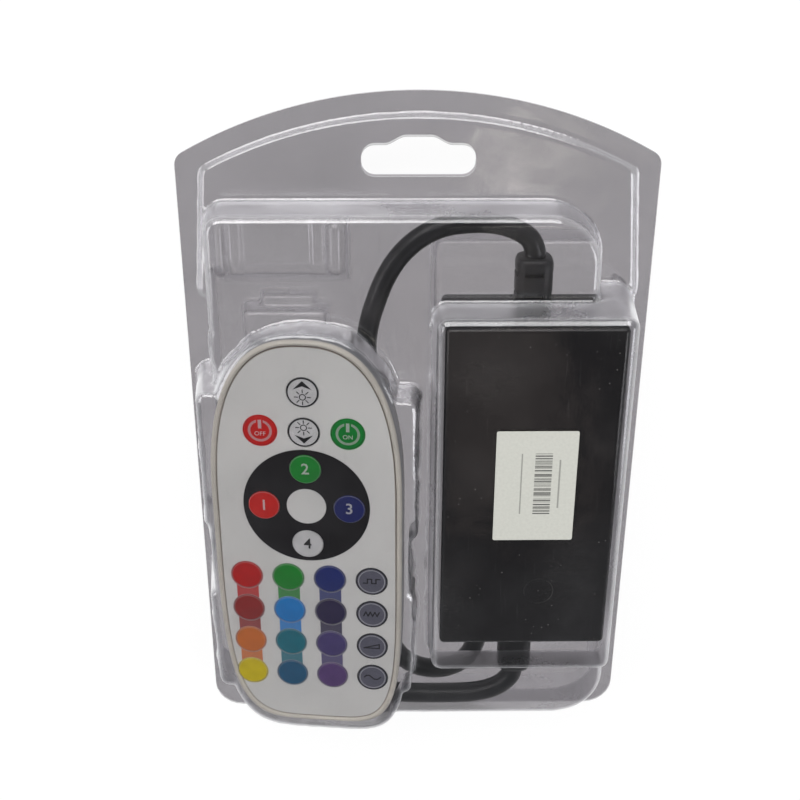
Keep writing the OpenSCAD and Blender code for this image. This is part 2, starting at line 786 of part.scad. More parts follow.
radio_w = 12;
radio_l = 15;
radio_t = 1;
coil_d = 4;
module radio_receiver() {
    color("seagreen")
        on_board(0.28, -0.08) {
            translate([-radio_w / 2, -radio_l / 2, 0]) cube([radio_w, radio_l, radio_t]);
            translate([0, radio_l / 4, radio_t]) cube([radio_w / 2, radio_w / 3, radio_t], center = true);
            translate([0, -radio_l / 4, radio_t]) cylinder(h = radio_w / 3, d = coil_d, $fn = 32);
        }
}

gland_slot_w = 1.6;
gland_inner_t = 2.4;
// A gland: an inner flange, a neck held in the case wall, and an outer sleeve with flexing slots
module gland(sleeve_l) {
    groove = case_wall + rest_gap;
    inner = gland_inner_t;
    slot_wide = gland_slot_w;
    difference() {
        rotate_extrude($fn = 48)
            polygon([[0, -groove - inner], [gland_flange_d / 2 - sheet_t, -groove - inner],
                [gland_flange_d / 2, -groove - inner + sheet_t], [gland_flange_d / 2, -groove],
                [gland_neck_d / 2 - 0.5 * rest_gap, -groove],
                [gland_neck_d / 2 - 0.5 * rest_gap, 0.5 * rest_gap],
                [gland_d / 2, 0.5 * rest_gap], [gland_d / 2, sleeve_l * 0.8],
                [gland_d / 2 - sheet_t, sleeve_l * 0.84], [gland_d / 2 - 2 * sheet_t, sleeve_l],
                [0, sleeve_l]]);
        // Slots from both sides leave a spine between them
        for (k = [0:1], s = [-1, 1])
            translate([s * (gland_d * 0.42), 0, sleeve_l * (0.34 + 0.34 * k)])
                cube([gland_d * 0.36, gland_d + over, slot_wide], center = true);
    }
}

module mains_gland() {
    color([0.08, 0.08, 0.08])
        translate([case_x, case_end_y, lead_z]) rotate([-90, 0, 0]) gland(mains_gland_l);
}

module output_gland() {
    color([0.08, 0.08, 0.08])
        translate([case_x, case_foot_y, lead_z]) rotate([90, 0, 0]) gland(output_gland_l);
}

module mains_lead() {
    color([0.07, 0.07, 0.07])
        tube(between(mains_points, [case_x, case_end_y + mains_gland_l + skin, lead_z],
            [plug_x, plug_y - 2 * skin, plug_z]), mains_d, 8);
}

module output_lead() {
    color([0.07, 0.07, 0.07])
        tube(between(output_points, [case_x, case_foot_y - output_gland_l - skin, lead_z],
            [connector_x, connector_y - 2 * skin, connector_z]), output_d, 8);
}

// A flat two pin plug, narrow at its cord end
module plug_body() {
    rear = plug_w * 0.4;
    grip = plug_w * 0.62;
    color([0.08, 0.08, 0.08])
        translate([plug_x, plug_y, plug_z])
            difference() {
                translate([0, 0, -plug_t / 2]) linear_extrude(plug_t)
                    polygon([[-rear / 2, 0], [rear / 2, 0], [rear / 2 + rest_gap, plug_l * 0.2],
                        [grip / 2, plug_l * 0.36], [grip / 2, plug_l * 0.5], [plug_w / 2, plug_l * 0.7],
                        [plug_w / 2, plug_l], [-plug_w / 2, plug_l], [-plug_w / 2, plug_l * 0.7],
                        [-grip / 2, plug_l * 0.5], [-grip / 2, plug_l * 0.36],
                        [-rear / 2 - rest_gap, plug_l * 0.2]]);
                // Chamfers along both flat faces at the cord end
                for (s = [-1, 1]) translate([0, 0, s * plug_t / 2]) rotate([s * 12, 0, 0])
                    translate([-plug_w, -plug_l * 0.5, s > 0 ? 0 : -plug_t])
                        cube([2 * plug_w, plug_l * 0.5 + rest_gap, plug_t]);
                for (s = [-1, 1]) translate([s * pin_pitch / 2, plug_l, 0]) rotate([90, 0, 0])
                    cylinder(h = plug_l / 2, d = pin_d + 0.1 * rest_gap, center = true, $fn = 32);
            }
}

module plug_pins() {
    color("silver")
        translate([plug_x, plug_y + plug_l, plug_z])
            for (s = [-1, 1]) translate([s * pin_pitch / 2, -plug_l / 4 + rest_gap, 0]) rotate([-90, 0, 0]) {
                cylinder(h = plug_l / 4 + pin_l - pin_d / 2 - rest_gap, d = pin_d, $fn = 32);
                translate([0, 0, plug_l / 4 + pin_l - pin_d / 2 - rest_gap]) sphere(d = pin_d, $fn = 32);
            }
}

socket_pitch = 2.6;
contact_d = 1.2;
contact_l = 6;
module output_connector() {
    color([0.93, 0.93, 0.9])
        translate([connector_x, connector_y, connector_z])
            difference() {
                translate([0, 0, -connector_t / 2]) linear_extrude(connector_t)
                    polygon([[-output_d / 2 - sheet_t, 0], [output_d / 2 + sheet_t, 0],
                        [connector_w / 2, connector_l * 0.3], [connector_w / 2, connector_l],
                        [-connector_w / 2, connector_l], [-connector_w / 2, connector_l * 0.3]]);
                // Latch recess along the top
                translate([0, connector_l * 0.75, connector_t / 2])
                    cube([connector_w / 3, connector_l * 0.4, connector_t / 5], center = true);
                for (k = [0:3]) translate([(k - 1.5) * socket_pitch, connector_l, 0]) rotate([90, 0, 0])
                    cylinder(h = connector_l / 2, d = contact_d + 0.1 * rest_gap, center = true, $fn = 24);
            }
}

module connector_pins() {
    color("goldenrod")
        translate([connector_x, connector_y + connector_l, connector_z])
            for (k = [0:3]) translate([(k - 1.5) * socket_pitch, -contact_l / 2, 0])
                rotate([-90, 0, 0]) cylinder(h = contact_l * 1.5, d = contact_d, $fn = 24);
}

// Remote

module remote_place() {
    translate([remote_x, remote_y, remote_z]) rotate([0, -remote_tilt, 0]) children();
}

function inner_oval(inset) = oval(remote_half - inset, remote_up - inset, remote_down - inset);
module oval_slab(inset, z0, z1) {
    translate([0, 0, z0]) linear_extrude(z1 - z0)
        polygon(inner_oval(inset));
}

module remote_bezel() {
    color("antiquewhite")
        remote_place()
            difference() {
                union() {
                    oval_slab(0, split_z, 0);
                    oval_slab(bead_w * 0.12, -over, bead_h * 0.6);
                    oval_slab(bead_w * 0.3, -over, bead_h);
                }
                oval_slab(bead_w, roof_z, over);
                oval_slab(shell_wall, split_z - over, roof_z - bezel_roof);
                // Sunk seats and guide holes of the keys
                for (p = key_places) translate([p[0], p[1], 0]) {
                    translate([0, 0, -key_sink - rest_gap])
                        cylinder(h = over + key_sink, d = key_d + 2 * key_gap, $fn = 48);
                    translate([0, 0, split_z]) cylinder(h = -split_z, d = stem_d + 2 * stem_gap, $fn = 32);
                }
            }
}

module remote_overlay() {
    color("gainsboro")
        remote_place()
            difference() {
                oval_slab(bead_w + key_gap, -overlay_t, 0);
                for (p = key_places) translate([p[0], p[1], -overlay_t - over])
                    cylinder(h = overlay_t + 2 * over, d = key_d + 2 * key_gap, $fn = 48);
            }
}

module key(i) {
    p = key_places[i];
    crown = 0.35 * overlay_t;
    color(key_colours[i])
        remote_place() translate([p[0], p[1], 0]) {
            rotate_extrude($fn = 48)
                polygon([[0, -overlay_t], [key_d / 2, -overlay_t], [key_d / 2, key_proud - crown],
                    [key_d / 2 - crown, key_proud], [0, key_proud]]);
            translate([0, 0, stem_foot]) cylinder(h = -overlay_t - stem_foot + skin, d = stem_d, $fn = 32);
        }
}

module key_brighter() { key(0); }
module key_dimmer() { key(1); }
module key_off() { key(2); }
module key_on() { key(3); }
module key_green() { key(4); }
module key_red() { key(5); }
module key_blue() { key(6); }
module key_white() { key(7); }
module key_r1c1() { key(8); }
module key_r1c2() { key(9); }
module key_r1c3() { key(10); }
module key_r2c1() { key(11); }
module key_r2c2() { key(12); }
module key_r2c3() { key(13); }
module key_r3c1() { key(14); }
module key_r3c2() { key(15); }
module key_r3c3() { key(16); }
module key_r4c1() { key(17); }
module key_r4c2() { key(18); }
module key_r4c3() { key(19); }
module key_mode1() { key(20); }
module key_mode2() { key(21); }
module key_mode3() { key(22); }
module key_mode4() { key(23); }

// The sheet of snap domes under the keys
module contact_domes() {
    color("silver")
        remote_place() {
            translate([0, 0, sheet_top - dome_sheet_t]) linear_extrude(dome_sheet_t)
                polygon(inner_oval(shell_wall + 2 * rest_gap));
            for (p = key_places) translate([p[0], p[1], sheet_top - skin])
                cylinder(h = dome_h + skin, d1 = 0.9 * stem_d, d2 = 0.5 * stem_d, $fn = 32);
        }
}

board_top = sheet_top - dome_sheet_t - 0.1 * rest_gap;
module remote_board() {
    color("darkgreen")
        remote_place()
            difference() {
                translate([0, 0, board_top - board_t]) linear_extrude(board_t)
                    polygon(inner_oval(shell_wall + 3 * rest_gap));
                for (s = [-1, 1]) translate([s * remote_half * 0.8, 0, board_top - board_t - over])
                    cylinder(h = board_t + 2 * over, d = screw_d, $fn = 24);
            }
}

led_d = 3;
module remote_emitter() {
    body_y = remote_up - 3 * shell_wall;
    color("gray")
        remote_place() translate([0, body_y - led_d, board_top - board_t - led_d * 0.6 - 0.1 * rest_gap])
            rotate([-90, 0, 0]) {
                cylinder(h = led_d, d = led_d, $fn = 32);
                cylinder(h = led_d / 3, d = led_d * 1.2, $fn = 32);
                translate([0, 0, led_d]) sphere(d = led_d, $fn = 32);
            }
}

round_back = 2.2;
// The lower half of the remote: a tub with a rounded foot and a slot for the battery drawer
module remote_back() {
    color("antiquewhite")
        remote_place()
            difference() {
                hull() {
                    oval_slab(0, -remote_t + round_back, split_z - skin);
                    oval_slab(round_back * 0.3, -remote_t + round_back * 0.3,
                        -remote_t + round_back * 0.3 + skin);
                    oval_slab(round_back, -remote_t, -remote_t + skin);
                }
                oval_slab(shell_wall, back_floor_z, split_z + over);
                translate([-drawer_w / 2 - rest_gap, -remote_down - over, -remote_t - over])
                    cube([drawer_w + 2 * rest_gap, remote_down + cell_y + cell_d / 2 + over,
                        drawer_z + drawer_t + rest_gap + remote_t + over]);
            }
}

drawer_z = -remote_t + 0.25 * rest_gap;
drawer_foot_y = -remote_down + round_back + 6 * rest_gap;
module battery_drawer() {
    color("antiquewhite")
        remote_place()
            difference() {
                translate([-drawer_w / 2, drawer_foot_y, drawer_z])
                    cube([drawer_w, cell_y + cell_d / 2 - drawer_foot_y - rest_gap, drawer_t]);
                translate([0, cell_y - rest_gap, drawer_z + drawer_t - cell_t - rest_gap])
                    cylinder(h = cell_t + over, d = cell_d + rest_gap, $fn = 64);
                // Grip notch at the outer end
                translate([0, drawer_foot_y, drawer_z])
                    cylinder(h = drawer_t / 3, d = drawer_w / 3, $fn = 32);
            }
}

module coin_cell() {
    color("silver")
        remote_place() translate([0, cell_y - rest_gap, drawer_z + drawer_t - cell_t - 0.5 * rest_gap]) {
            cylinder(h = cell_t * 0.75, d = cell_d, $fn = 64);
            cylinder(h = cell_t, d = cell_d * 0.86, $fn = 64);
        }
}

clip_t = 0.3;
clip_w = 5;
// A springy clip between the cell and the board
module battery_clip() {
    low = drawer_z + drawer_t + 0.5 * rest_gap;
    high = board_top - board_t - 0.1 * rest_gap;
    color("goldenrod")
        remote_place() translate([0, cell_y, 0]) {
            translate([-clip_w / 2, -clip_w, high - clip_t]) cube([clip_w, 2 * clip_w, clip_t]);
            translate([-clip_w / 2, clip_w - clip_t, low]) cube([clip_w, clip_t, high - low]);
            translate([-clip_w / 2, -clip_w, low]) cube([clip_w, 2 * clip_w, clip_t]);
        }
}

front_shell();
back_tray();
price_label();
controller_case();
controller_base();
case_screws();
controller_board();
bridge_rectifier();
bulk_capacitor();
mains_fuse();
switching_transistors();
control_chip();
radio_receiver();
mains_gland();
output_gland();
mains_lead();
output_lead();
plug_body();
plug_pins();
output_connector();
connector_pins();
remote_bezel();
remote_back();
remote_overlay();
contact_domes();
remote_board();
remote_emitter();
coin_cell();
battery_drawer();
battery_clip();
key_brighter();
key_dimmer();
key_off();
key_on();
key_green();
key_red();
key_blue();
key_white();
key_r1c1();
key_r1c2();
key_r1c3();
key_r2c1();
key_r2c2();
key_r2c3();
key_r3c1();
key_r3c2();
key_r3c3();
key_r4c1();
key_r4c2();
key_r4c3();
key_mode1();
key_mode2();
key_mode3();
key_mode4();
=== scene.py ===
"""The LED strip controller set in its clear hinged pack, dressed for a picture."""

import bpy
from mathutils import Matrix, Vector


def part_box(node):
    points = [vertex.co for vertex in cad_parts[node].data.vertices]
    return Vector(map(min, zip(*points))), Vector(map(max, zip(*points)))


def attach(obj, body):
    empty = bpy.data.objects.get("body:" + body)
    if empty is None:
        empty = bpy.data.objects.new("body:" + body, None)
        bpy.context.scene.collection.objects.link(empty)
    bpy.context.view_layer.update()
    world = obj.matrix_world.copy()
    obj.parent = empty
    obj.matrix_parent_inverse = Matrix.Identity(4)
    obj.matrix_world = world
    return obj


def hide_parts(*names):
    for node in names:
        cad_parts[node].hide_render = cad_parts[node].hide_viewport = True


bl_info = {
    "name": "LED Controller Pack",
    "version": (1, 0, 0),
    "blender": (4, 5, 0),
    "location": "View3D > Sidebar > LED Pack",
    "description": "Builds a controller box, its leads and its remote in a clear hinged pack",
    "category": "Object",
}

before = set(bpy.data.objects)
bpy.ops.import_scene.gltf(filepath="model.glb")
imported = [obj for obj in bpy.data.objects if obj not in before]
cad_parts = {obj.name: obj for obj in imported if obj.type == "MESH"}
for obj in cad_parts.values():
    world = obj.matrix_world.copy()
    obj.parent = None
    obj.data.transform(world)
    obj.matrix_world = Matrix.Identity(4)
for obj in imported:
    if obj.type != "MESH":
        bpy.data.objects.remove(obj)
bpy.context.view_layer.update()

import math

import bmesh
import bpy
from mathutils import Matrix, Vector, kdtree, noise

MM = 0.001
DOUBLES = 0.000002
EDGE_REACH = 2.2

# Levels of the pack in millimetres, as in the part's source, and of the remote's dome over its film
FLANGE_TOP = 11.1
TRAY_TOP = 10.5
HEADER_RISE = 2.0
MAIN_RISE = 15.0
BOX_RISE = 27.0
CROWN = 1.4
LEAN = math.tan(math.radians(5))
ARCH_R = 135.66
ARCH_Y = 105 - ARCH_R

# Remote: middle of its round pad, its reach from there, how full its oval is, its keys and its tilt
REMOTE = Vector((-33.0, -12.7, 33.5))
HALF, UP, DOWN = 28.5, 53.6, 80.3
TOP_POWER, LEFT_POWER, RIGHT_POWER = 2.55, 4.0, 5.6
KEY_PITCH = (12.85, 12.15)
FIRST_ROW = -25.1
KEY_HOLE_R = 0.00482
REMOTE_TILT = math.radians(6)
REMOTE_PLACE = Matrix.Translation(REMOTE) @ Matrix.Rotation(-REMOTE_TILT, 4, "Y")


# Selecting and placing


def pick(*objects):
    """Selects these objects alone; the last is the active one."""
    if bpy.context.object and bpy.context.object.mode != "OBJECT":
        bpy.ops.object.mode_set(mode="OBJECT")
    bpy.ops.object.select_all(action="DESELECT")
    for piece in objects:
        piece.select_set(True)
    bpy.context.view_layer.objects.active = objects[-1]
    return objects[-1]


def added(primitive, **settings):
    """Adds one primitive as the only selected object."""
    bpy.ops.object.select_all(action="DESELECT")
    primitive(**settings)
    return bpy.context.object


def finish_modifier(piece, kind, **settings):
    """Adds one modifier with its settings and applies it."""
    pick(piece)
    modifier = piece.modifiers.new(kind.title(), kind)
    for name, value in settings.items():
        setattr(modifier, name, value)
    bpy.ops.object.modifier_apply(modifier=modifier.name)
    return piece


def carved(piece, *cutters):
    """Cuts these objects out of the piece, one after another, and removes them."""
    for cutter in cutters:
        finish_modifier(piece, "BOOLEAN", operation="DIFFERENCE", object=cutter, solver="EXACT")
        bpy.data.objects.remove(cutter)
    return piece


def merged(piece):
    """Merges doubles and turns every face outwards."""
    pick(piece)
    bpy.ops.object.mode_set(mode="EDIT")
    bpy.ops.mesh.select_all(action="SELECT")
    bpy.ops.mesh.remove_doubles(threshold=DOUBLES)
    bpy.ops.mesh.normals_make_consistent(inside=False)
    bpy.ops.object.mode_set(mode="OBJECT")
    return piece


def joined(name, *pieces):
    """Joins pieces into one object."""
    pick(*pieces)
    if len(pieces) > 1:
        bpy.ops.object.join()
    whole = bpy.context.object
    whole.name = name
    whole.data.name = name
    return whole


def smooth(piece, angle=35):
    pick(piece)
    bpy.ops.object.shade_smooth_by_angle(angle=math.radians(angle))
    return piece


def placed(piece, matrix):
    """Puts the piece's place into its mesh. The matrix is in millimetres."""
    move = matrix.copy()
    move.translation = move.translation * MM
    piece.matrix_world = move
    pick(piece)
    bpy.ops.object.transform_apply(location=True, rotation=True, scale=True)
    return piece


def settle(piece, body, slot, finish, *nodes):
    """Gives a finished piece its finish and its body, and hides the nodes that it stands for. The slot is not
    used.
    """
    if finish is not None:
        piece.data.materials.clear()
        piece.data.materials.append(finish)
    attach(piece, body)
    if nodes:
        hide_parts(*nodes)
    return piece


# Outlines, in millimetres


def box_outline(x0, y0, x1, y1, radii, grow=0.0, steps=9):
    """A rectangle with its own radius at each corner, from the lower right one on, grown outwards."""
    lower_right, upper_right, upper_left, lower_left = radii
    corners = (
        (x1 - lower_right, y0 + lower_right, lower_right, -90),
        (x1 - upper_right, y1 - upper_right, upper_right, 0),
        (x0 + upper_left, y1 - upper_left, upper_left, 90),
        (x0 + lower_left, y0 + lower_left, lower_left, 180),
    )
    points = []
    for x, y, radius, start in corners:
        for step in range(steps):
            angle = math.radians(start + 90 * step / (steps - 1))
            reach = max(radius + grow, 0.05)
            points.append((x + reach * math.cos(angle), y + reach * math.sin(angle)))
    return points


def swell(value, power):
    return math.copysign(abs(value) ** (2 / power), value)


def egg_outline(half, up, down, count=144, x=0.0):
    """The remote's oval, fuller at its foot than at its top and fullest at its lower right."""
    points = []
    for step in range(count):
        angle = 2 * math.pi * step / count
        high = math.sin(angle) >= 0
        power = TOP_POWER if high else RIGHT_POWER if math.cos(angle) > 0 else LEFT_POWER
        points.append(
            (x + half * swell(math.cos(angle), power), (up if high else down) * swell(math.sin(angle), power))
        )
    return points


def rounded(points, radii, steps=7):
    """A closed outline with an arc of the given radius at each of its corners."""
    result = []
    count = len(points)
    for index, (corner, radius) in enumerate(zip(points, radii)):
        corner = Vector(corner)
        if not radius:
            result.append(tuple(corner))
            continue
        back = (Vector(points[index - 1]) - corner).normalized()
        ahead = (Vector(points[(index + 1) % count]) - corner).normalized()
        half = back.angle(ahead) / 2
        tangent = radius / math.tan(half)
        centre = corner + (back + ahead).normalized() * (radius / math.sin(half))
        first = corner + back * tangent - centre
        last = corner + ahead * tangent - centre
        turn = first.angle_signed(last) if first.length else 0
        for step in range(steps):
            share = -turn * step / (steps - 1)
            cos, sin = math.cos(share), math.sin(share)
            rotated = Vector((first.x * cos - first.y * sin, first.x * sin + first.y * cos))
            result.append(tuple(centre + rotated))
    return result


def arch_point(x, inset=0.0):
    radius = ARCH_R - inset
    return (x, ARCH_Y + math.sqrt(radius * radius - x * x))


def flange_outline():
    arch = [arch_point(68 - 136 * step / 44) for step in range(45)]
    corners = arch + [(-68, -105), (68, -105)]
    radii = [4] + [0] * 43 + [4] + [9, 9]
    return rounded(corners, radii)


def header_outline(grow=0.0):
    arch = [arch_point(60.6 - 121.2 * step / 30, 6.4) for step in range(31)]
    corners = arch + [(-63.6, 46), (63.6, 46)]
    outline = rounded(corners, [3.2] + [0] * 29 + [3.2] + [2, 2])
    middle = Vector((0, 72))
    spread = []
    for point in outline:
        away = Vector(point) - middle
        spread.append(tuple(middle + away * (1 + grow / away.length)))
    return spread


def slot_outline():
    """The hanging slot, with a soft hump on its far side."""
    low, high = 81.6, 90.5
    hump = []
    for step in range(33):
        x = 9.4 - 18.8 * step / 32
        share = min(1, (9.4 - abs(x)) / 5.9)
        hump.append((x, high + 2.3 * share * share * (3 - 2 * share)))
    corners = [(-16, low), (16, low), (16, high)] + hump + [(-16, high)]
    return rounded(corners, [3.8] * 3 + [0] * len(hump) + [3.8])


def inside(point, outline):
    x, y = point
    within = False
    x0, y0 = outline[-1]
    for x1, y1 in outline:
        if (y0 > y) != (y1 > y) and x < (x1 - x0) * (y - y0) / (y1 - y0) + x0:
            within = not within
        x0, y0 = x1, y1
    return within


def nearest_on(point, outline):
    """The nearest point of the outline to a point."""
    best, found = 1e9, point
    px, py = point
    x0, y0 = outline[-1]
    for x1, y1 in outline:
        dx, dy = x1 - x0, y1 - y0
        length = dx * dx + dy * dy
        share = 0 if length < 1e-12 else max(0, min(1, ((px - x0) * dx + (py - y0) * dy) / length))
        qx, qy = x0 + share * dx, y0 + share * dy
        distance = (px - qx) ** 2 + (py - qy) ** 2
        if distance < best:
            best, found = distance, (qx, qy)
        x0, y0 = x1, y1
    return found, math.sqrt(best)


# Solid forms


def lofted(name, rings):
    """A closed form: a filled ring, drawn out to each further ring. Rings are in millimetres."""
    piece = added(bpy.ops.mesh.primitive_circle_add, vertices=len(rings[0]), radius=0.01, fill_type="NGON")
    piece.name = name
    piece.data.name = name
    ring = [Vector(point) * MM for point in rings[0]]
    for vertex, place in zip(piece.data.vertices, ring):
        vertex.co = place
    bpy.ops.object.mode_set(mode="EDIT")
    bpy.ops.mesh.select_mode(type="FACE")
    bpy.ops.mesh.select_all(action="SELECT")
    for following in rings[1:]:
        tree = kdtree.KDTree(len(ring))
        for index, place in enumerate(ring):
            tree.insert(place, index)
        tree.balance()
        ring = [Vector(point) * MM for point in following]
        bpy.ops.mesh.extrude_region_move()
        shape = bmesh.from_edit_mesh(piece.data)
        for vertex in shape.verts:
            if vertex.select:
                vertex.co = ring[tree.find(vertex.co)[1]]
        bmesh.update_edit_mesh(piece.data)
    bpy.ops.mesh.select_all(action="SELECT")
    bpy.ops.mesh.normals_make_consistent(inside=False)
    bpy.ops.object.mode_set(mode="OBJECT")
    return piece


def stacked(name, outline, levels):
    """A closed form through an outline's sizes, each at its level."""
    return lofted(name, [[(x, y, z) for x, y in outline(size)] for size, z in levels])


def blank(low, high):
    """The flat block that a sheet is drawn over, wider than the pack on all sides."""

    def outline(grow):
        return box_outline(-72, -109, 72, 109, (2, 2, 2, 2), grow)

    return stacked("blank", outline, ((0, low), (0, high)))


def dome_form(name, outline, base, rise, round_r=1.6, below=4.0, steps=(0.0, 0.3, 1.0)):
    """A leaning, rounded-over form on an outline that takes a growth."""
    foot = LEAN * rise
    levels = [(foot, base - below), (foot, base)]
    levels += [(-round_r * share, base + rise - round_r * (1 - share)) for share in steps]
    return stacked(name, outline, levels)


def tilted_form(name, outline, drop, round_r=1.6):
    """A form over the remote: its top lies level with the tilted film and its walls lean."""
    foot = LEAN * (REMOTE.z - FLANGE_TOP)
    rings = []
    for z in (FLANGE_TOP - 4, FLANGE_TOP):
        rings.append([(x + REMOTE.x, y + REMOTE.y, z) for x, y in outline(foot)])
    for share in (0.0, 0.12, 0.3, 0.6, 1.0):
        turn = math.asin(share)
        level = CROWN - drop - round_r * (1 - math.sin(turn))
        inset = round_r * (1 - math.cos(turn))
        rings.append([tuple(REMOTE_PLACE @ Vector((x, y, level))) for x, y in outline(-inset)])
    return lofted(name, rings)


def bay_outline(corners):
    """The outline of a bay beside the remote, by its corners in the remote's own frame."""

    def outline(grow):
        spread = [
            (x + grow * math.copysign(1, x), y + grow * math.copysign(1, y - middle)) for x, y in corners
        ]
        return rounded(spread, [3 + grow] * 4)

    middle = sum(corner[1] for corner in corners) / 4
    return outline


def round_ring(radius, count=56, power=2):
    """Points round the origin on a circle, or on a squarer ring of a higher power."""
    turns = [2 * math.pi * step / count for step in range(count)]
    if power == 2:
        return [(radius * math.cos(turn), radius * math.sin(turn)) for turn in turns]
    return [(radius * swell(math.cos(turn), power), radius * swell(math.sin(turn), power)) for turn in turns]


def pillar_form(x, y, top, top_r, foot_r):
    def outline(radius):
        return [(x + px, y + py) for px, py in round_ring(radius, 28)]

    levels = ((foot_r, -4), (foot_r, 0.4), (top_r, top - 0.6), (top_r - 0.6, top))
    return stacked("pillar", outline, levels)


def land_form(x0, y0, x1, y1, top, radius=3.0):
    def outline(grow):
        return box_outline(x0, y0, x1, y1, (radius,) * 4, grow)

    return dome_form("land", outline, 0.5, top - 0.5, 1.0)


def drawn_form(x0, x1, profile):
    """A form with one profile, in y and z, from x0 to x1."""
    return lofted("drawn", [[(x, y, z) for y, z in profile] for x in (x0, x1)])


def rib_form(x, y0, y1, radius, low=6.9, stretch=5.5):
    """An upright rib with a long rounded back."""

    def outline(grow):
        return box_outline(x - radius, y0, x + radius, y1, (radius - 0.05,) * 4, grow)

    turns = [math.radians(10.5 * step) for step in range(9)]
    back = [(-radius * (1 - math.cos(turn)), low + stretch * math.sin(turn)) for turn in turns]
    return stacked("rib", outline, [(0, -4), *back])


# The two formed sheets


def shrunk_over(name, forms, cell, passes):
    """One skin shrunk over overlapping forms, as the warm sheet is drawn over its mould."""
    skin = joined(name, *forms)
    finish_modifier(skin, "REMESH", mode="VOXEL", voxel_size=cell * MM, adaptivity=0.0)
    finish_modifier(skin, "SMOOTH", factor=0.5, iterations=passes)
    return skin


def thinned(skin, sheet, faces=72000):
    """Thins the even parts of a skin's mesh and gives it the sheet's thickness."""
    triangles = sum(len(face.vertices) - 2 for face in skin.data.polygons)
    finish_modifier(skin, "DECIMATE", decimate_type="COLLAPSE", ratio=min(1.0, faces / triangles))
    finish_modifier(skin, "SOLIDIFY", thickness=sheet, offset=-1.0, use_even_offset=False)
    steep = [1 - abs(vertex.normal.z) for vertex in skin.data.vertices]
    skin.data.attributes.new("wall", "FLOAT", "POINT").data.foreach_set("value", steep)
    return smooth(skin, 60)


def trimmed(skin, keep_above, outline, slot, slot_level):
    """Leaves the upper skin inside the outline and outside the slot, with clean edges."""
    pick(skin)
    shape = bmesh.new()
    shape.from_mesh(skin.data)
    outer, gap = flange_edge_test(outline), slot_edge_test(slot)
    gone = []
    for face in shape.faces:
        centre = face.calc_center_median() / MM
        spot = (centre.x, centre.y)
        if centre.z < keep_above or outer(spot) or gap(spot):
            gone.append(face)
    bmesh.ops.delete(shape, geom=gone, context="FACES")
    for vertex in shape.verts:
        if not vertex.is_boundary:
            continue
        spot = (vertex.co.x / MM, vertex.co.y / MM)
        on_outline, distance = nearest_on(spot, outline)
        if distance < EDGE_REACH:
            vertex.co.x, vertex.co.y = on_outline[0] * MM, on_outline[1] * MM
            continue
        on_slot, distance = nearest_on(spot, slot)
        if distance < EDGE_REACH:
            vertex.co.x, vertex.co.y = on_slot[0] * MM, on_slot[1] * MM
            vertex.co.z = slot_level * MM
    shape.to_mesh(skin.data)
    shape.free()
    return skin


def flange_edge_test(outline):
    """Only spots near the edge are tested against the whole outline."""

    def outside(spot):
        x, y = spot
        if abs(x) < 62 and -98 < y < 80:
            return False
        return not inside(spot, outline)

    return outside


def slot_edge_test(slot):
    def within(spot):
        x, y = spot
        return abs(x) < 17 and 80 < y < 95 and inside(spot, slot)

    return within


def ripple(skin, strength):
    """Lets the drawn walls of the remote's dome buckle a little, as thin warm sheet does."""
    level = REMOTE_PLACE.inverted()
    moves = []
    for vertex in skin.data.vertices:
        spot = vertex.co / MM
        x, y, z = spot
        depth = CROWN - (level @ spot).z
        if z < 12.2 or depth < 0.8 or x > 3.6 or y > 46 or y < -100:
            continue
        share = min(1, (z - 12.2) / 4) * min(1, (depth - 0.8) / 2)
        wave = noise.noise(Vector((x * 0.11, y * 0.12, z * 0.035)))
        fold = noise.noise(Vector((x * 0.3 + 9, y * 0.42, z * 0.1)))
        push = strength * share * (wave + 0.45 * fold)
        normal = vertex.normal
        flat = Vector((normal.x, normal.y, 0))
        if flat.length > 0.4:
            moves.append((vertex.index, flat.normalized() * push * MM))
    for index, move in moves:
        skin.data.vertices[index].co += move
    return skin


# Finishes


class Signal:
    """One changing value of a finish. Arithmetic on it adds the Math nodes."""

    def __init__(self, finish, socket):
        self.finish = finish
        self.socket = socket

    def __add__(self, other):
        return self.finish.math("ADD", self, other)

    __radd__ = __add__

    def __sub__(self, other):
        return self.finish.math("SUBTRACT", self, other)

    def __rsub__(self, other):
        return self.finish.math("SUBTRACT", other, self)

    def __mul__(self, other):
        return self.finish.math("MULTIPLY", self, other)

    __rmul__ = __mul__

    def __truediv__(self, other):
        return self.finish.math("DIVIDE", self, other)

    def __pow__(self, other):
        return self.finish.math("POWER", self, other)

    def __abs__(self):
        return self.finish.math("ABSOLUTE", self)

    def __gt__(self, other):
        return self.finish.math("GREATER_THAN", self, other)

    def low(self, other):
        return self.finish.math("MINIMUM", self, other)

    def high(self, other):
        return self.finish.math("MAXIMUM", self, other)

    def root(self):
        return self.finish.math("SQRT", self)

    def clamped(self):
        return self.finish.math("ADD", self, 0, clamp=True)


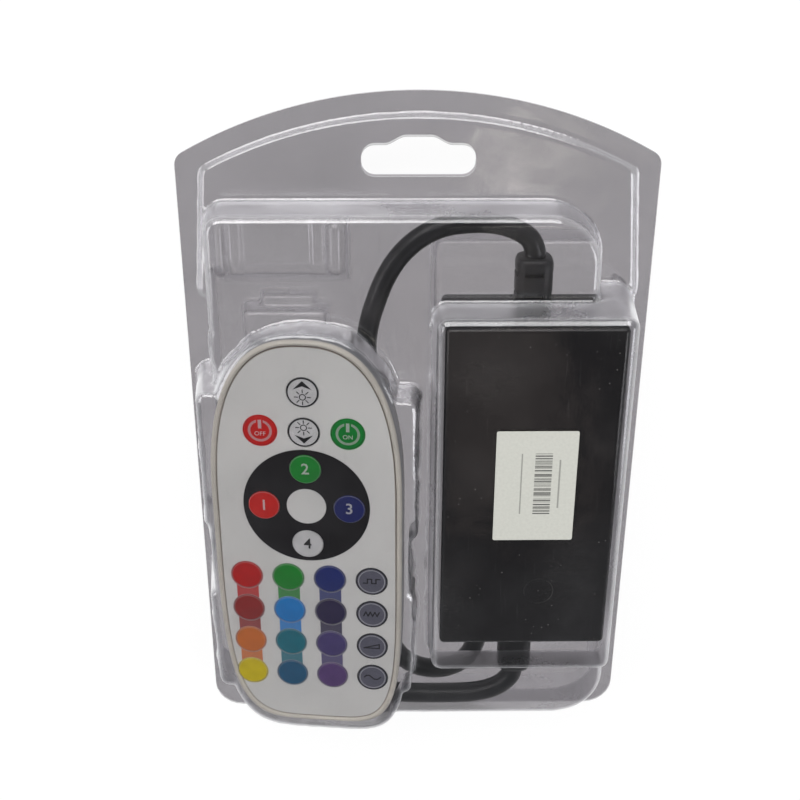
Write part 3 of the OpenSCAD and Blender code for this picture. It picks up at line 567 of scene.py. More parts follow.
class Finish:
    """A material in the making."""

    def __init__(self, name, colour, roughness, metallic=0.0, **sockets):
        self.material = bpy.data.materials.new(name)
        self.material.use_nodes = True
        self.tree = self.material.node_tree
        self.shader = self.tree.nodes["Principled BSDF"]
        self.output = self.tree.nodes["Material Output"]
        self.material.diffuse_color = (*colour, 1)
        self.set("Base Color", (*colour, 1))
        self.set("Roughness", roughness)
        self.set("Metallic", metallic)
        for socket, value in sockets.items():
            self.set(socket.replace("_", " "), value)

    def set(self, socket, value):
        """Sets a constant or links a changing value on the shader's own socket."""
        self.plug(self.shader.inputs[socket], value)

    def plug(self, socket, value):
        if isinstance(value, Signal):
            value = value.socket
        if isinstance(value, bpy.types.NodeSocket):
            self.tree.links.new(value, socket)
        else:
            socket.default_value = value

    def node(self, kind, settings=None, **inputs):
        """Any node: its settings first, then the values or links of its sockets."""
        made = self.tree.nodes.new(kind)
        for name, value in (settings or {}).items():
            setattr(made, name, value)
        for name, value in inputs.items():
            self.plug(made.inputs[name.replace("_", " ")], value)
        return made

    def math(self, operation, first, second=None, clamp=False):
        made = self.node("ShaderNodeMath", {"operation": operation, "use_clamp": clamp})
        self.plug(made.inputs[0], first)
        if second is not None:
            self.plug(made.inputs[1], second)
        return Signal(self, made.outputs[0])

    def place(self, matrix=None):
        """Object coordinates in millimetres, or those of a turned and moved frame."""
        inverse = (matrix or Matrix.Identity(4)).inverted()
        coordinates = self.node("ShaderNodeTexCoord").outputs["Object"]
        mapping = self.node(
            "ShaderNodeMapping", Vector=coordinates, Location=tuple(inverse.translation),
            Rotation=tuple(inverse.to_euler("XYZ")), Scale=(1 / MM, 1 / MM, 1 / MM)
        )
        return mapping.outputs["Vector"]

    def split(self, vector):
        made = self.node("ShaderNodeSeparateXYZ", Vector=vector)
        return [Signal(self, made.outputs[axis]) for axis in range(3)]

    def noise(self, vector, scale, detail=2.0, roughness=0.5, distortion=0.0):
        made = self.node(
            "ShaderNodeTexNoise",
            Vector=vector, Scale=scale, Detail=detail, Roughness=roughness, Distortion=distortion
        )
        return Signal(self, made.outputs["Fac"])

    def cells(self, vector, scale):
        made = self.node("ShaderNodeTexVoronoi", Vector=vector, Scale=scale, Randomness=1.0)
        return Signal(self, made.outputs["Distance"])

    def stretched(self, vector, scale):
        return self.node("ShaderNodeMapping", Vector=vector, Scale=scale).outputs["Vector"]

    def ramp(self, value, low, high):
        """0 below low, 1 above high and even between them."""
        made = self.node("ShaderNodeMapRange", {"clamp": True}, Value=value, From_Min=low, From_Max=high)
        return Signal(self, made.outputs["Result"])

    def blend(self, share, first, second):
        """Mixes two colours by a share."""
        made = self.node("ShaderNodeMix", {"data_type": "RGBA"})
        self.plug(made.inputs["Factor"], share)
        for socket, colour in zip((made.inputs[6], made.inputs[7]), (first, second)):
            self.plug(socket, (*colour, 1) if isinstance(colour, tuple) and len(colour) == 3 else colour)
        return made.outputs[2]

    def mixed(self, share, first, second):
        """Mixes two shaders by a share and hands the mix to the output."""
        mix = self.node("ShaderNodeMixShader", Fac=share)
        self.plug(mix.inputs[1], first.outputs[0])
        self.plug(mix.inputs[2], second.outputs[0])
        self.plug(self.output.inputs["Surface"], mix.outputs[0])
        return self.material

    def bump(self, height, strength, distance=0.0002):
        made = self.node("ShaderNodeBump", Strength=strength, Distance=distance, Height=height)
        self.set("Normal", made.outputs["Normal"])

    def disc(self, x, y, centre, radius, soft=0.12):
        """1 inside a circle and 0 outside, with a soft edge."""
        away = ((x - centre[0]) * (x - centre[0]) + (y - centre[1]) * (y - centre[1])).root()
        return self.ramp(away, radius + soft, radius - soft)

    def bar(self, x, y, low, high, soft=0.1):
        """1 inside an upright rectangle."""
        half_x, half_y = (high[0] - low[0]) / 2, (high[1] - low[1]) / 2
        across = self.ramp(abs(x - (low[0] + high[0]) / 2), half_x + soft, half_x - soft)
        along = self.ramp(abs(y - (low[1] + high[1]) / 2), half_y + soft, half_y - soft)
        return across * along


def srgb(red, green, blue):
    """A colour as it reads on a screen, from 0 to 255, as light."""

    def light(value):
        value /= 255
        return value / 12.92 if value <= 0.04045 else ((value + 0.055) / 1.055) ** 2.4

    return (light(red), light(green), light(blue))


def toned(colour, scale, lift=0.0):
    return tuple(scale * value + lift for value in colour)


def clear_sheet(name, tint_and_shade, haze):
    """Clear formed sheet: tinted where one looks through it, glossy, faintly hazed and scratched. Its tint is
    partly painted shade, darkening the ground seen through it as if shaded.
    """
    finish = Finish(name, (0.93, 0.93, 0.95), 0.07, metallic=1.0)
    spot = finish.place()
    facing = Signal(finish, finish.node("ShaderNodeLayerWeight", Blend=0.5).outputs["Facing"])
    cloud = finish.noise(spot, 0.035, 3.0)
    fine = finish.noise(spot, 0.9, 4.0)
    scratch = finish.noise(finish.stretched(spot, (0.9, 0.05, 0.3)), 1.6, 2.0, 0.6, 0.3)
    line = finish.ramp(scratch, 0.665, 0.70)
    wall = Signal(finish, finish.node("ShaderNodeAttribute", {"attribute_name": "wall"}).outputs["Fac"])
    gloss = 0.055 + 0.62 * facing**3.2 + 0.66 * wall * facing
    gloss = gloss + haze * finish.ramp(cloud, 0.4, 0.75) + 0.05 * line
    finish.set("Roughness", 0.05 + 0.14 * finish.ramp(cloud, 0.35, 0.8) + 0.05 * fine + 0.2 * wall)
    wave = finish.noise(spot, 0.055, 2.0)
    finish.bump(wave + 0.05 * fine, 0.35, 0.0008)
    finish.material.diffuse_color = (*tint_and_shade, 0.35)
    # The see-through tint is the sheet's own faint smoke plus painted shade, standing in for the shaded grey
    # ground seen through the pack.
    clear = finish.node("ShaderNodeBsdfTransparent", Color=(*tint_and_shade, 1))
    return finish.mixed(gloss.clamped(), clear, finish.shader)


def black_case_finish(name, colour):
    """Glossy black with dust, hairlines and a faint ring worn into it."""
    finish = Finish(name, colour, 0.16, Specular_IOR_Level=0.5)
    spot = finish.place()
    x, y = finish.split(spot)[:2]
    cloud = finish.noise(spot, 0.04, 3.0)
    dust = finish.cells(spot, 0.42)
    speck = finish.ramp(dust, 0.085, 0.05) * finish.ramp(finish.noise(spot, 0.06, 2.0), 0.48, 0.62)
    hair = finish.noise(finish.stretched(spot, (0.25, 1.6, 0.3)), 0.9, 3.0, 0.55, 0.8)
    hairline = finish.ramp(abs(hair - 0.5), 0.006, 0.001) * finish.ramp(cloud, 0.5, 0.62)
    away = ((x - 37) * (x - 37) + (y + 40.5) * (y + 40.5)).root()
    ring = finish.ramp(abs(away - 4.4), 0.3, 0.05) * finish.ramp(finish.noise(spot, 0.12, 2.0), 0.42, 0.6)
    film = finish.ramp(cloud, 0.35, 0.75)
    marks = (0.5 * speck + 0.12 * hairline + 0.07 * ring + 0.012 * film).clamped()
    finish.set("Base Color", finish.blend(marks, colour, (0.55, 0.53, 0.5)))
    finish.set("Roughness", 0.1 + 0.12 * film + 0.25 * speck + 0.1 * ring)
    grain = finish.noise(spot, 2.2, 3.0)
    finish.bump(grain + 0.6 * finish.noise(spot, 0.07, 2.0), 0.05, 0.0004)
    return finish.material


def moulded(name, colour, roughness=0.4, grain=1.6, depth=0.12, wear=0.06, metallic=0.0, **sockets):
    """Moulded or machined stuff: faint colour drift, fine grain and a little handling wear."""
    finish = Finish(name, colour, roughness, metallic, **sockets)
    spot = finish.place()
    cloud = finish.noise(spot, 0.09, 3.0)
    fine = finish.noise(spot, grain, 3.0)
    pale = tuple(min(1, value + wear) for value in colour)
    finish.set("Base Color", finish.blend(finish.ramp(cloud, 0.38, 0.72), colour, pale))
    finish.set("Roughness", roughness * 0.85 + 0.3 * roughness * fine)
    finish.bump(fine, depth, 0.0002)
    return finish.material


def cord_jacket(name, colour):
    """Satin black jacket with a drawn grain and a dusty bloom."""
    finish = Finish(name, colour, 0.38)
    spot = finish.place()
    fine = finish.noise(spot, 1.9, 3.0)
    bloom = finish.ramp(finish.noise(spot, 0.08, 3.0), 0.4, 0.75)
    finish.set("Base Color", finish.blend(bloom * 0.5, colour, (0.045, 0.045, 0.05)))
    finish.set("Roughness", 0.3 + 0.2 * bloom)
    finish.bump(fine, 0.15, 0.0002)
    return finish.material


def label_finish(name, paper, ink):
    """Off-white paper with a block of plain bars."""
    finish = Finish(name, paper, 0.62)
    x, y = finish.split(finish.place())[:2]
    block = finish.bar(x, y, (33.6, -12.6), (38.6, 7.6), 0.08)
    row = finish.node("ShaderNodeTexNoise", {"noise_dimensions": "1D"}, W=y, Scale=2.3, Detail=1.0)
    stroke = finish.ramp(Signal(finish, row.outputs["Fac"]), 0.49, 0.52)
    rule = finish.bar(x, y, (40.6, -10.5), (41.1, 5.5), 0.05)
    rule = rule + finish.bar(x, y, (29.6, -12.5), (30.0, 7.5), 0.05)
    fibre = finish.noise(finish.place(), 1.2, 4.0)
    marks = (block * stroke + 0.55 * rule).clamped()
    tone = finish.blend(finish.ramp(fibre, 0.35, 0.7), paper, toned(paper, 0.93))
    finish.set("Base Color", finish.blend(marks * 0.9, tone, ink))
    finish.bump(fibre, 0.08, 0.0001)
    return finish.material


def overlay_finish(name, film, remote):
    """The remote's printed film: round pad, joined colour keys and thin rings, with a painted highlight halo
    round each colour key and a painted shade line round its edge.
    """
    finish = Finish(name, film, 0.5, Specular_IOR_Level=0.2)
    spot = finish.place(REMOTE_PLACE)
    x, y = finish.split(spot)[:2]
    drift = finish.ramp(finish.noise(spot, 0.05, 2.0), 0.35, 0.7)
    tone = finish.blend(drift, film, toned(film, 0.94))
    for column, colours in enumerate(remote["bars"]):
        for row, colour in enumerate(colours):
            middle, top = grid_key(row, column)
            band = finish.bar(x, y, (middle - 3.4, top - KEY_PITCH[1]), (middle + 3.4, top), 0.08)
            tone = finish.blend(band, tone, colour)
    # Painted highlight: a pale halo in each colour key's own colour on the film round the key.
    for centre, radius, colour in remote["highlight_halos"]:
        tone = finish.blend(finish.disc(x, y, centre, radius, 0.08), tone, colour)
    pad = finish.disc(x, y, (0, 0.3), 19.0, 0.1)
    tone = finish.blend(pad, tone, (0.009, 0.007, 0.009))
    tone = finish.blend(finish.disc(x, y, (0, 0.3), 5.9, 0.1), tone, film)
    for centre, radius, colour in remote["rings"]:
        tone = finish.blend(finish.disc(x, y, centre, radius, 0.08), tone, colour)
    # Painted shade: a brown line round the film's edge, in the crease under the rim's raised lip.
    high = y > 0
    away = (x * x + y * y).root()
    lip = 1.7
    upper, lower, fuller = [
        (abs(x / (HALF - lip)) ** power + abs(y / (reach - lip)) ** power) ** (1 / power)
        for reach, power in ((UP, TOP_POWER), (DOWN, LEFT_POWER), (DOWN, RIGHT_POWER))
    ]
    right = x > 0
    share = (high * upper + (1 - high) * (right * fuller + (1 - right) * lower)).high(0.05)
    tone = finish.blend(finish.ramp(away / share - away, 0.5, 0.2) * 0.8, tone, (0.20, 0.14, 0.09))
    finish.set("Base Color", tone)
    finish.set("Roughness", 0.42 + 0.14 * finish.noise(spot, 0.3, 3.0))
    finish.bump(finish.noise(spot, 1.4, 3.0), 0.05, 0.0001)
    return finish.material


def key_finish(name, colour, centre, sign):
    """One key's printed face, drawn round its own middle."""
    finish = Finish(name, colour, 0.5, Specular_IOR_Level=0.2)
    place = REMOTE_PLACE @ Matrix.Translation((centre[0], centre[1], 0))
    spot = finish.place(place)
    x, y = finish.split(spot)[:2]
    away = (x * x + y * y).root()
    drift = finish.ramp(finish.noise(spot, 0.25, 3.0), 0.35, 0.7)
    tone = finish.blend(drift, colour, toned(colour, 0.86))
    tone = sign(finish, tone, x, y, away)
    finish.set("Base Color", tone)
    finish.set("Roughness", 0.42 + 0.14 * finish.noise(spot, 0.6, 3.0))
    finish.bump(finish.noise(spot, 1.1, 3.0) + 0.5 * finish.noise(spot, 0.3, 2.0), 0.14, 0.0002)
    return finish.material


# Signs on the keys


def ring_mask(finish, away, radius, width, soft=0.07):
    return finish.ramp(abs(away - radius), width / 2 + soft, width / 2 - soft)


def stroke_mask(finish, x, y, start, end, width, soft=0.07):
    """1 along a straight stroke from start to end."""
    along = Vector(end) - Vector(start)
    length = along.length
    along /= length
    px, py = x - start[0], y - start[1]
    reach = (px * along.x + py * along.y).high(0).low(length)
    dx, dy = px - reach * along.x, py - reach * along.y
    return finish.ramp((dx * dx + dy * dy).root(), width / 2 + soft, width / 2 - soft)


def plain_sign(finish, tone, x, y, away):
    """A thin pale rim, a painted highlight on the key's edge, and nothing else."""
    pale = toned(finish_colour(finish), 0.55, 0.22)
    # Painted highlight: a pale ring just inside the key's rounded edge.
    return finish.blend(ring_mask(finish, away, 4.5, 0.2) * 0.7, tone, pale)


def sun_sign(upwards):
    """A black ring round a solid chevron and a small sun."""

    def draw(finish, tone, x, y, away):
        side = 1 if upwards else -1
        ink = (0.010, 0.010, 0.012)
        middle = -1.5 * side
        tone = finish.blend(ring_mask(finish, away, 4.42, 0.5), tone, ink)
        around = (x * x + (y - middle) * (y - middle)).root()
        tone = finish.blend(ring_mask(finish, around, 0.88, 0.3), tone, ink)
        for step in range(8):
            angle = math.pi / 4 * step
            cos, sin = math.cos(angle), math.sin(angle)
            inner, outer = (1.4 * cos, middle + 1.4 * sin), (2.3 * cos, middle + 2.3 * sin)
            tone = finish.blend(stroke_mask(finish, x, y, inner, outer, 0.3), tone, ink)
        tall, aside = y * side, abs(x)
        under = finish.ramp(3.6 - aside - tall, -0.07, 0.07)
        over = finish.ramp(tall - 1.9 + 0.38 * aside, -0.07, 0.07)
        return finish.blend(under * over, tone, ink)

    return draw


def power_sign(finish, tone, x, y, away):
    """A pale open ring with a stroke through its gap."""
    own = finish_colour(finish)
    tone = finish.blend(ring_mask(finish, away, 3.15, 0.75), tone, toned(own, 0.45, 0.36))
    gap = finish.bar(x, y, (-1.0, 1.2), (1.0, 4.2), 0.06)
    tone = finish.blend(gap * ring_mask(finish, away, 3.15, 1.1), tone, own)
    stroke = finish.bar(x, y, (-0.5, 0.7), (0.5, 3.5), 0.07)
    return finish.blend(stroke, tone, toned(own, 0.3, 0.5))


def finish_colour(finish):
    return tuple(finish.material.diffuse_color[:3])


def mode_sign(kind):
    """A dark key with a thin pale ring and a plain wave."""

    def draw(finish, tone, x, y, away):
        ink = (0.02, 0.02, 0.024)
        tone = finish.blend(ring_mask(finish, away, 4.55, 0.3), tone, ink)
        tone = finish.blend(ring_mask(finish, away, 4.0, 0.28), tone, (0.46, 0.46, 0.50))
        for start, end in zip(WAVES[kind], WAVES[kind][1:]):
            tone = finish.blend(stroke_mask(finish, x, y, start, end, 0.42), tone, ink)
        return tone

    return draw


WAVES = (
    ((-2.6, -0.7), (-1.3, -0.7), (-1.3, 0.8), (0, 0.8), (0, -0.7), (1.3, -0.7), (1.3, 0.8), (2.6, 0.8)),
    ((-2.6, -0.7), (-1.9, 0.8), (-1.2, -0.7), (-0.5, 0.8), (0.2, -0.7), (0.9, 0.8), (1.6, -0.7), (2.3, 0.8)),
    ((-2.6, -0.7), (2.2, 0.8), (2.2, -0.7), (-2.6, -0.7)),
    ((-2.6, 0), (-1.9, 0.7), (-1.0, 0.7), (0.6, -0.7), (1.6, -0.7), (2.6, 0.2)),
)


# Settings


class PackSizes(bpy.types.PropertyGroup):
    """Sizes that a user would change."""

    sheet: bpy.props.FloatProperty(
        name="Sheet", description="Thickness of the formed sheet",
        default=0.0005, min=0.0002, max=0.001, unit="LENGTH"
    )
    cell: bpy.props.FloatProperty(
        name="Cell", description="Size of the formed sheets' mesh cells, in millimetres",
        default=0.6, min=0.5, max=3.0
    )
    ripple: bpy.props.FloatProperty(
        name="Ripple", description="How far the remote dome's walls buckle, in millimetres",
        default=0.9, min=0.0, max=2.0
    )
    case_edge: bpy.props.FloatProperty(
        name="Case edge", description="Rounding of the case's edges",
        default=0.0016, min=0.0005, max=0.003, unit="LENGTH"
    )
    mains_lead: bpy.props.FloatProperty(
        name="Mains lead", description="Diameter of the mains lead",
        default=0.006, min=0.003, max=0.008, unit="LENGTH"
    )
    output_lead: bpy.props.FloatProperty(
        name="Output lead", description="Diameter of the output lead",
        default=0.0065, min=0.003, max=0.008, unit="LENGTH"
    )


class PackColours(bpy.types.PropertyGroup):
    """Colours that a user would change."""

    # Partly painted shade: besides the sheet's own smoke, this tint darkens the ground seen through the
    # cover.
    tint_and_shade: bpy.props.FloatVectorProperty(
        name="Cover tint", description="Colour that one surface of the clear cover lets through",
        default=(0.86, 0.855, 0.86), size=3, subtype="COLOR", min=0, max=1
    )
    # Darker than the cover's: more painted shade, for the shaded ground under the pack seen through the tray.
    tray_tint_and_shade: bpy.props.FloatVectorProperty(
        name="Tray tint", description="Colour that one surface of the clear tray lets through",
        default=(0.72, 0.708, 0.722), size=3, subtype="COLOR", min=0, max=1
    )
    case: bpy.props.FloatVectorProperty(
        name="Case", description="Colour of the controller's case", default=(0.010, 0.009, 0.010), size=3,
        subtype="COLOR", min=0, max=1
    )
    cream: bpy.props.FloatVectorProperty(
        name="Remote", description="Colour of the remote's shell", default=(0.83, 0.79, 0.70), size=3,
        subtype="COLOR", min=0, max=1
    )
    film: bpy.props.FloatVectorProperty(
        name="Overlay", description="Colour of the remote's film", default=(0.90, 0.90, 0.87), size=3,
        subtype="COLOR", min=0, max=1
    )
    paper: bpy.props.FloatVectorProperty(
        name="Label", description="Colour of the label", default=(0.57, 0.57, 0.52), size=3, subtype="COLOR",
        min=0, max=1
    )


# Keys

WHITE_KEY = (0.80, 0.80, 0.80)
GREY_KEY = (0.15, 0.15, 0.20)
KEY_ROWS = (
    (srgb(212, 16, 12), srgb(12, 153, 42), srgb(32, 48, 125)),
    (srgb(167, 40, 37), srgb(2, 145, 229), srgb(45, 32, 81)),
    (srgb(233, 129, 52), srgb(13, 128, 147), srgb(84, 71, 130)),
    (srgb(241, 219, 8), srgb(24, 100, 142), srgb(102, 71, 133)),
)


def grid_key(row, column):
    return ((column - 1.5) * KEY_PITCH[0], FIRST_ROW - row * KEY_PITCH[1])


KEYS = {
    "key_brighter": ((0, 37.7), WHITE_KEY, sun_sign(True), None),
    "key_dimmer": ((0, 25.0), WHITE_KEY, sun_sign(False), None),
    "key_off": ((-12.8, 25.0), srgb(226, 30, 26), power_sign, ("OFF", 1.9, -1.0)),
    "key_on": ((12.8, 25.0), srgb(16, 146, 56), power_sign, ("ON", 1.9, -1.0)),
    "key_green": ((0, 12.8), srgb(24, 156, 54), plain_sign, ("2", 5.0, 0)),
    "key_red": ((-12.8, 0), srgb(232, 36, 28), plain_sign, ("1", 5.0, 0)),
    "key_blue": ((12.8, 0), srgb(30, 40, 114), plain_sign, ("3", 5.0, 0)),
    "key_white": ((0, -12.8), WHITE_KEY, plain_sign, ("4", 5.0, 0)),
}
for row in range(4):
    for column in range(3):
        colour = KEY_ROWS[row][column]
        KEYS[f"key_r{row + 1}c{column + 1}"] = (grid_key(row, column), colour, plain_sign, None)
    KEYS[f"key_mode{row + 1}"] = (grid_key(row, 3), GREY_KEY, mode_sign(row), None)


# Leads, in millimetres

MAINS_ROUTE = (
    (32.7, 60.72, 19.7), (32.7, 62.4, 19.7), (30.9, 66, 19.7), (26.5, 68.7, 19.6), (21, 70.2, 19.6),
    (14.7, 70.4, 19.6), (8, 69.6, 19.6), (2.5, 67.4, 19.6), (-2, 64.2, 19.6), (-6, 59.8, 19.5),
    (-9.4, 54, 19.3), (-12, 47.2, 18.8), (-14, 40, 18), (-15, 32, 16.6), (-14.1, 23, 14.2),
    (-12.8, 14, 11.2), (-11.8, 5, 8.2), (-10.6, -5, 5.6), (-10, -16, 4.2), (-10, -28, 3.8),
    (-10, -40, 3.8), (-10.6, -50, 3.8), (-14.4, -59, 3.8), (-21, -65.2, 3.8), (-30, -68.3, 3.8),
    (-39.5, -67.3, 3.8), (-46.6, -63.6, 3.8), (-51.6, -57.8, 3.8), (-53.6, -50.8, 4), (-52.8, -44.2, 4.6),
    (-49.8, -39, 5.4), (-45.8, -35.4, 6.4), (-41.6, -32.6, 7.3), (-40, -30, 7.4), (-40, -28.05, 7.4),
)
OUTPUT_ROUTE = (
    (32.7, -81.32, 19.7), (32.7, -83, 19.7), (31.9, -86.2, 19.7), (29.2, -89.6, 19.6),
    (25.5, -91.8, 19.6), (20.5, -93.1, 19.6), (14, -93.6, 19.6), (6, -93.7, 19.6), (-2, -93.7, 19.3),
    (-10, -93.6, 18.5), (-18, -93.4, 17.2), (-26, -93, 15.5), (-34, -92.2, 13.8), (-40.6, -88, 12.4),
    (-43.8, -81, 11.4), (-43, -73.6, 10.7), (-38, -68.2, 10.3), (-30.6, -66.2, 10.2),
    (-22.8, -66.6, 10.2), (-15.6, -69.6, 10), (-10.4, -75.4, 9.4), (-7.6, -82, 8.2), (-3.8, -88.6, 6.9),
    (2.4, -93.4, 5.8), (9.8, -94.6, 5.2), (16.4, -91.8, 5), (20.4, -86, 5), (22.2, -78.6, 4.8),
    (22.8, -70, 4.6), (23, -60, 4.4), (23, -50, 4.4), (23, -42, 4.4), (23, -40.05, 4.4),
)


def lead_form(name, route, diameter):
    """A round lead drawn along a smooth curve through its route."""
    line = bpy.data.curves.new(name, "CURVE")
    line.dimensions = "3D"
    line.bevel_depth = diameter / 2
    line.bevel_resolution = 6
    line.use_fill_caps = True
    spline = line.splines.new("POLY")
    points = []
    for index in range(len(route) - 1):
        before = Vector(route[max(index - 1, 0)])
        start, end = Vector(route[index]), Vector(route[index + 1])
        after = Vector(route[min(index + 2, len(route) - 1)])
        for step in range(5):
            t = step / 5
            points.append(
                0.5 * (2 * start + (end - before) * t + (2 * before - 5 * start + 4 * end - after) * t**2
                       + (3 * start - before - 3 * end + after) * t**3)
            )
    points.append(Vector(route[-1]))
    spline.points.add(len(points) - 1)
    for point, place in zip(spline.points, points):
        point.co = (*(place * MM), 1)
    lead = bpy.data.objects.new(name, line)
    bpy.context.scene.collection.objects.link(lead)
    pick(lead)
    bpy.ops.object.convert(target="MESH")
    lead = merged(bpy.context.object)
    return smooth(lead, 60)


def dressed(node, bevel, segments=2):
    """A copy of a solid with its flat faces joined, its edges eased and its rounds smooth."""
    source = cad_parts[node]
    piece = source.copy()
    piece.data = source.data.copy()
    for word in list(piece.keys()):
        if word.startswith("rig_"):
            del piece[word]
    piece.name = node + "_piece"
    piece.data.name = piece.name
    bpy.context.scene.collection.objects.link(piece)
    piece.parent = None
    piece.matrix_world = Matrix.Identity(4)
    piece.hide_render = piece.hide_viewport = False
    pick(piece)
    bpy.ops.object.mode_set(mode="EDIT")
    bpy.ops.mesh.select_all(action="SELECT")
    bpy.ops.mesh.remove_doubles(threshold=DOUBLES)
    bpy.ops.mesh.dissolve_limited(angle_limit=math.radians(1.0))
    bpy.ops.object.mode_set(mode="OBJECT")
    if bevel:
        finish_modifier(piece, "BEVEL", width=bevel * MM, segments=segments, limit_method="ANGLE",
                        angle_limit=math.radians(50), use_clamp_overlap=True)
    return smooth(piece, 40)


def dress_rows(*rows):
    """Dresses nodes of the pack: each row gives a node, its bevel, its slot and its finish."""
    for node, bevel, slot, *look in rows:
        finish = moulded(slot, *look) if look else bpy.data.materials[slot]
        settle(dressed(node, bevel, 3 if node == "plug_body" else 2), "pack", slot, finish, node)


# Operators


class LEDPACK_OT_stage(bpy.types.Operator):
    """Floor, lamps, world and camera"""

    bl_idname = "ledpack.stage"
    bl_label = "Stage"

    def execute(self, context):
        floor = added(bpy.ops.mesh.primitive_plane_add, size=12, location=(0, 0, -0.0002))
        floor.name = "floor"
        floor.data.materials.append(self.floor_material())
        self.world(context)
        self.lamp("far_panel", (-0.15, 1.0, 0.75), (0, 0, 0.02), (1.5, 0.8), 16.6, (1.0, 0.995, 0.98))
        self.lamp(
            "top_window", (0.20, -0.21, 1.25), (0.03, 0.08, 0.01), (0.16, 0.05), 0.05, (1.0, 0.95, 0.82)
        )
        self.lamp("ceiling", (0.17, -0.66, 1.5), (0.03, 0.02, 0.04), (0.26, 0.42), 0.05, (1.0, 0.82, 0.72))
        self.lamp("left_panel", (-0.95, 0.05, 0.6), (0, 0, 0.02), (0.8, 0.5), 4.0, (1.0, 1.0, 1.0))
        self.lamp("right_panel", (0.85, -0.25, 0.75), (0, 0, 0.02), (0.6, 0.6), 5.1, (0.97, 0.98, 1.0))
        self.camera(context)
        context.scene.view_settings.view_transform = "Standard"
        return {"FINISHED"}

    def floor_material(self):
        """White to the eye and in reflections, with the object's shadow on it."""
        finish = Finish("floor", (0.9, 0.9, 0.9), 0.9)
        rays = finish.node("ShaderNodeLightPath")
        seen = Signal(finish, rays.outputs["Is Camera Ray"])
        seen = seen.high(Signal(finish, rays.outputs["Is Glossy Ray"]))
        seen = seen.high(Signal(finish, rays.outputs["Is Transmission Ray"]))
        glow = finish.node("ShaderNodeEmission", Color=(1, 1, 1, 1), Strength=1.03)
        return finish.mixed(seen * 0.9, finish.shader, glow)

    def world(self, context):
        world = bpy.data.worlds.new("studio")
        world.use_nodes = True
        tree = world.node_tree
        background = tree.nodes["Background"]
        coordinates = tree.nodes.new("ShaderNodeTexCoord")
        split = tree.nodes.new("ShaderNodeSeparateXYZ")
        tree.links.new(coordinates.outputs["Generated"], split.inputs[0])
        ramp = tree.nodes.new("ShaderNodeMapRange")
        for name, value in (("From Max", 0.85), ("To Min", 0.75), ("To Max", 0.10)):
            ramp.inputs[name].default_value = value
        tree.links.new(split.outputs[2], ramp.inputs["Value"])
        tree.links.new(ramp.outputs["Result"], background.inputs["Strength"])
        background.inputs["Color"].default_value = (0.96, 0.98, 1.0, 1)
        context.scene.world = world

    def lamp(self, name, place, aim, size, power, colour):
        light = bpy.data.lights.new(name, "AREA")
        light.shape = "RECTANGLE"
        light.size, light.size_y = size
        light.energy = power
        light.color = colour
        lamp = bpy.data.objects.new(name, light)
        lamp.location = place
        lamp.rotation_euler = (Vector(aim) - Vector(place)).to_track_quat("-Z", "Y").to_euler()
        bpy.context.scene.collection.objects.link(lamp)

    def camera(self, context):
        view = bpy.data.cameras.new("camera")
        view.sensor_width = 36
        view.lens = 53.24
        view.clip_start = 0.01
        camera = bpy.data.objects.new("camera", view)
        right = Vector((0.99991, 0.00227, 0.01327))
        up = Vector((0.00368, 0.90201, -0.43171))
        back = Vector((-0.01296, 0.43172, 0.90192))
        place = Matrix((right, up, back)).transposed().to_4x4()
        place.translation = Vector((-9.67, 167.79, 337.03)) * MM
        camera.matrix_world = place
        context.scene.collection.objects.link(camera)
        context.scene.camera = camera


class LEDPACK_OT_cover(bpy.types.Operator):
    """The clear front cover, drawn over its forms, trimmed and given its thickness"""

    bl_idname = "ledpack.cover"
    bl_label = "Front cover"

    def execute(self, context):
        sizes, colours = context.scene.ledpack_sizes, context.scene.ledpack_colours

        def main(grow):
            return box_outline(-59.5, -97.8, 51, 73.8, (5, 15, 5, 15), grow)

        def lower(grow):
            return box_outline(7.1, -97.5, 61.5, 49.5, (15, 5, 5, 5), grow)

        def box(grow):
            return box_outline(4.8, -70.3, 60.6, 48.3, (3, 3, 3, 3), grow)

        def egg(grow):
            return egg_outline(30.4 + grow, 55.8 + grow, 83.0 + grow, 144, 0.6)

        upper_bay = bay_outline(((-31.2, 36.3), (-31.2, -8.8), (32.8, -10.4), (32.8, 36.3)))
        lower_bay = bay_outline(((-31.35, -31.0), (-30.2, -68.0), (31.8, -66.8), (32.4, -28.0)))
        forms = [
            blank(FLANGE_TOP - 4, FLANGE_TOP),
            dome_form("header", header_outline, FLANGE_TOP, HEADER_RISE, 0.8),
            dome_form("main", main, FLANGE_TOP, MAIN_RISE),
            dome_form("lower", lower, FLANGE_TOP, MAIN_RISE),
            dome_form("box", box, FLANGE_TOP, BOX_RISE),
            tilted_form("egg", egg, 0.0),
            tilted_form("upper_bay", upper_bay, 0.25),
            tilted_form("lower_bay", lower_bay, 0.25),
        ]
        skin = shrunk_over("front_cover", forms, sizes.cell, 2)
        trimmed(skin, FLANGE_TOP - 0.6, flange_outline(), slot_outline(), FLANGE_TOP + HEADER_RISE)
        ripple(skin, sizes.ripple)
        thinned(skin, sizes.sheet)
        tint_and_shade = tuple(colours.tint_and_shade)
        settle(skin, "cover", "clear_cover", clear_sheet("clear_cover", tint_and_shade, 0.05), "front_shell")
        return {"FINISHED"}


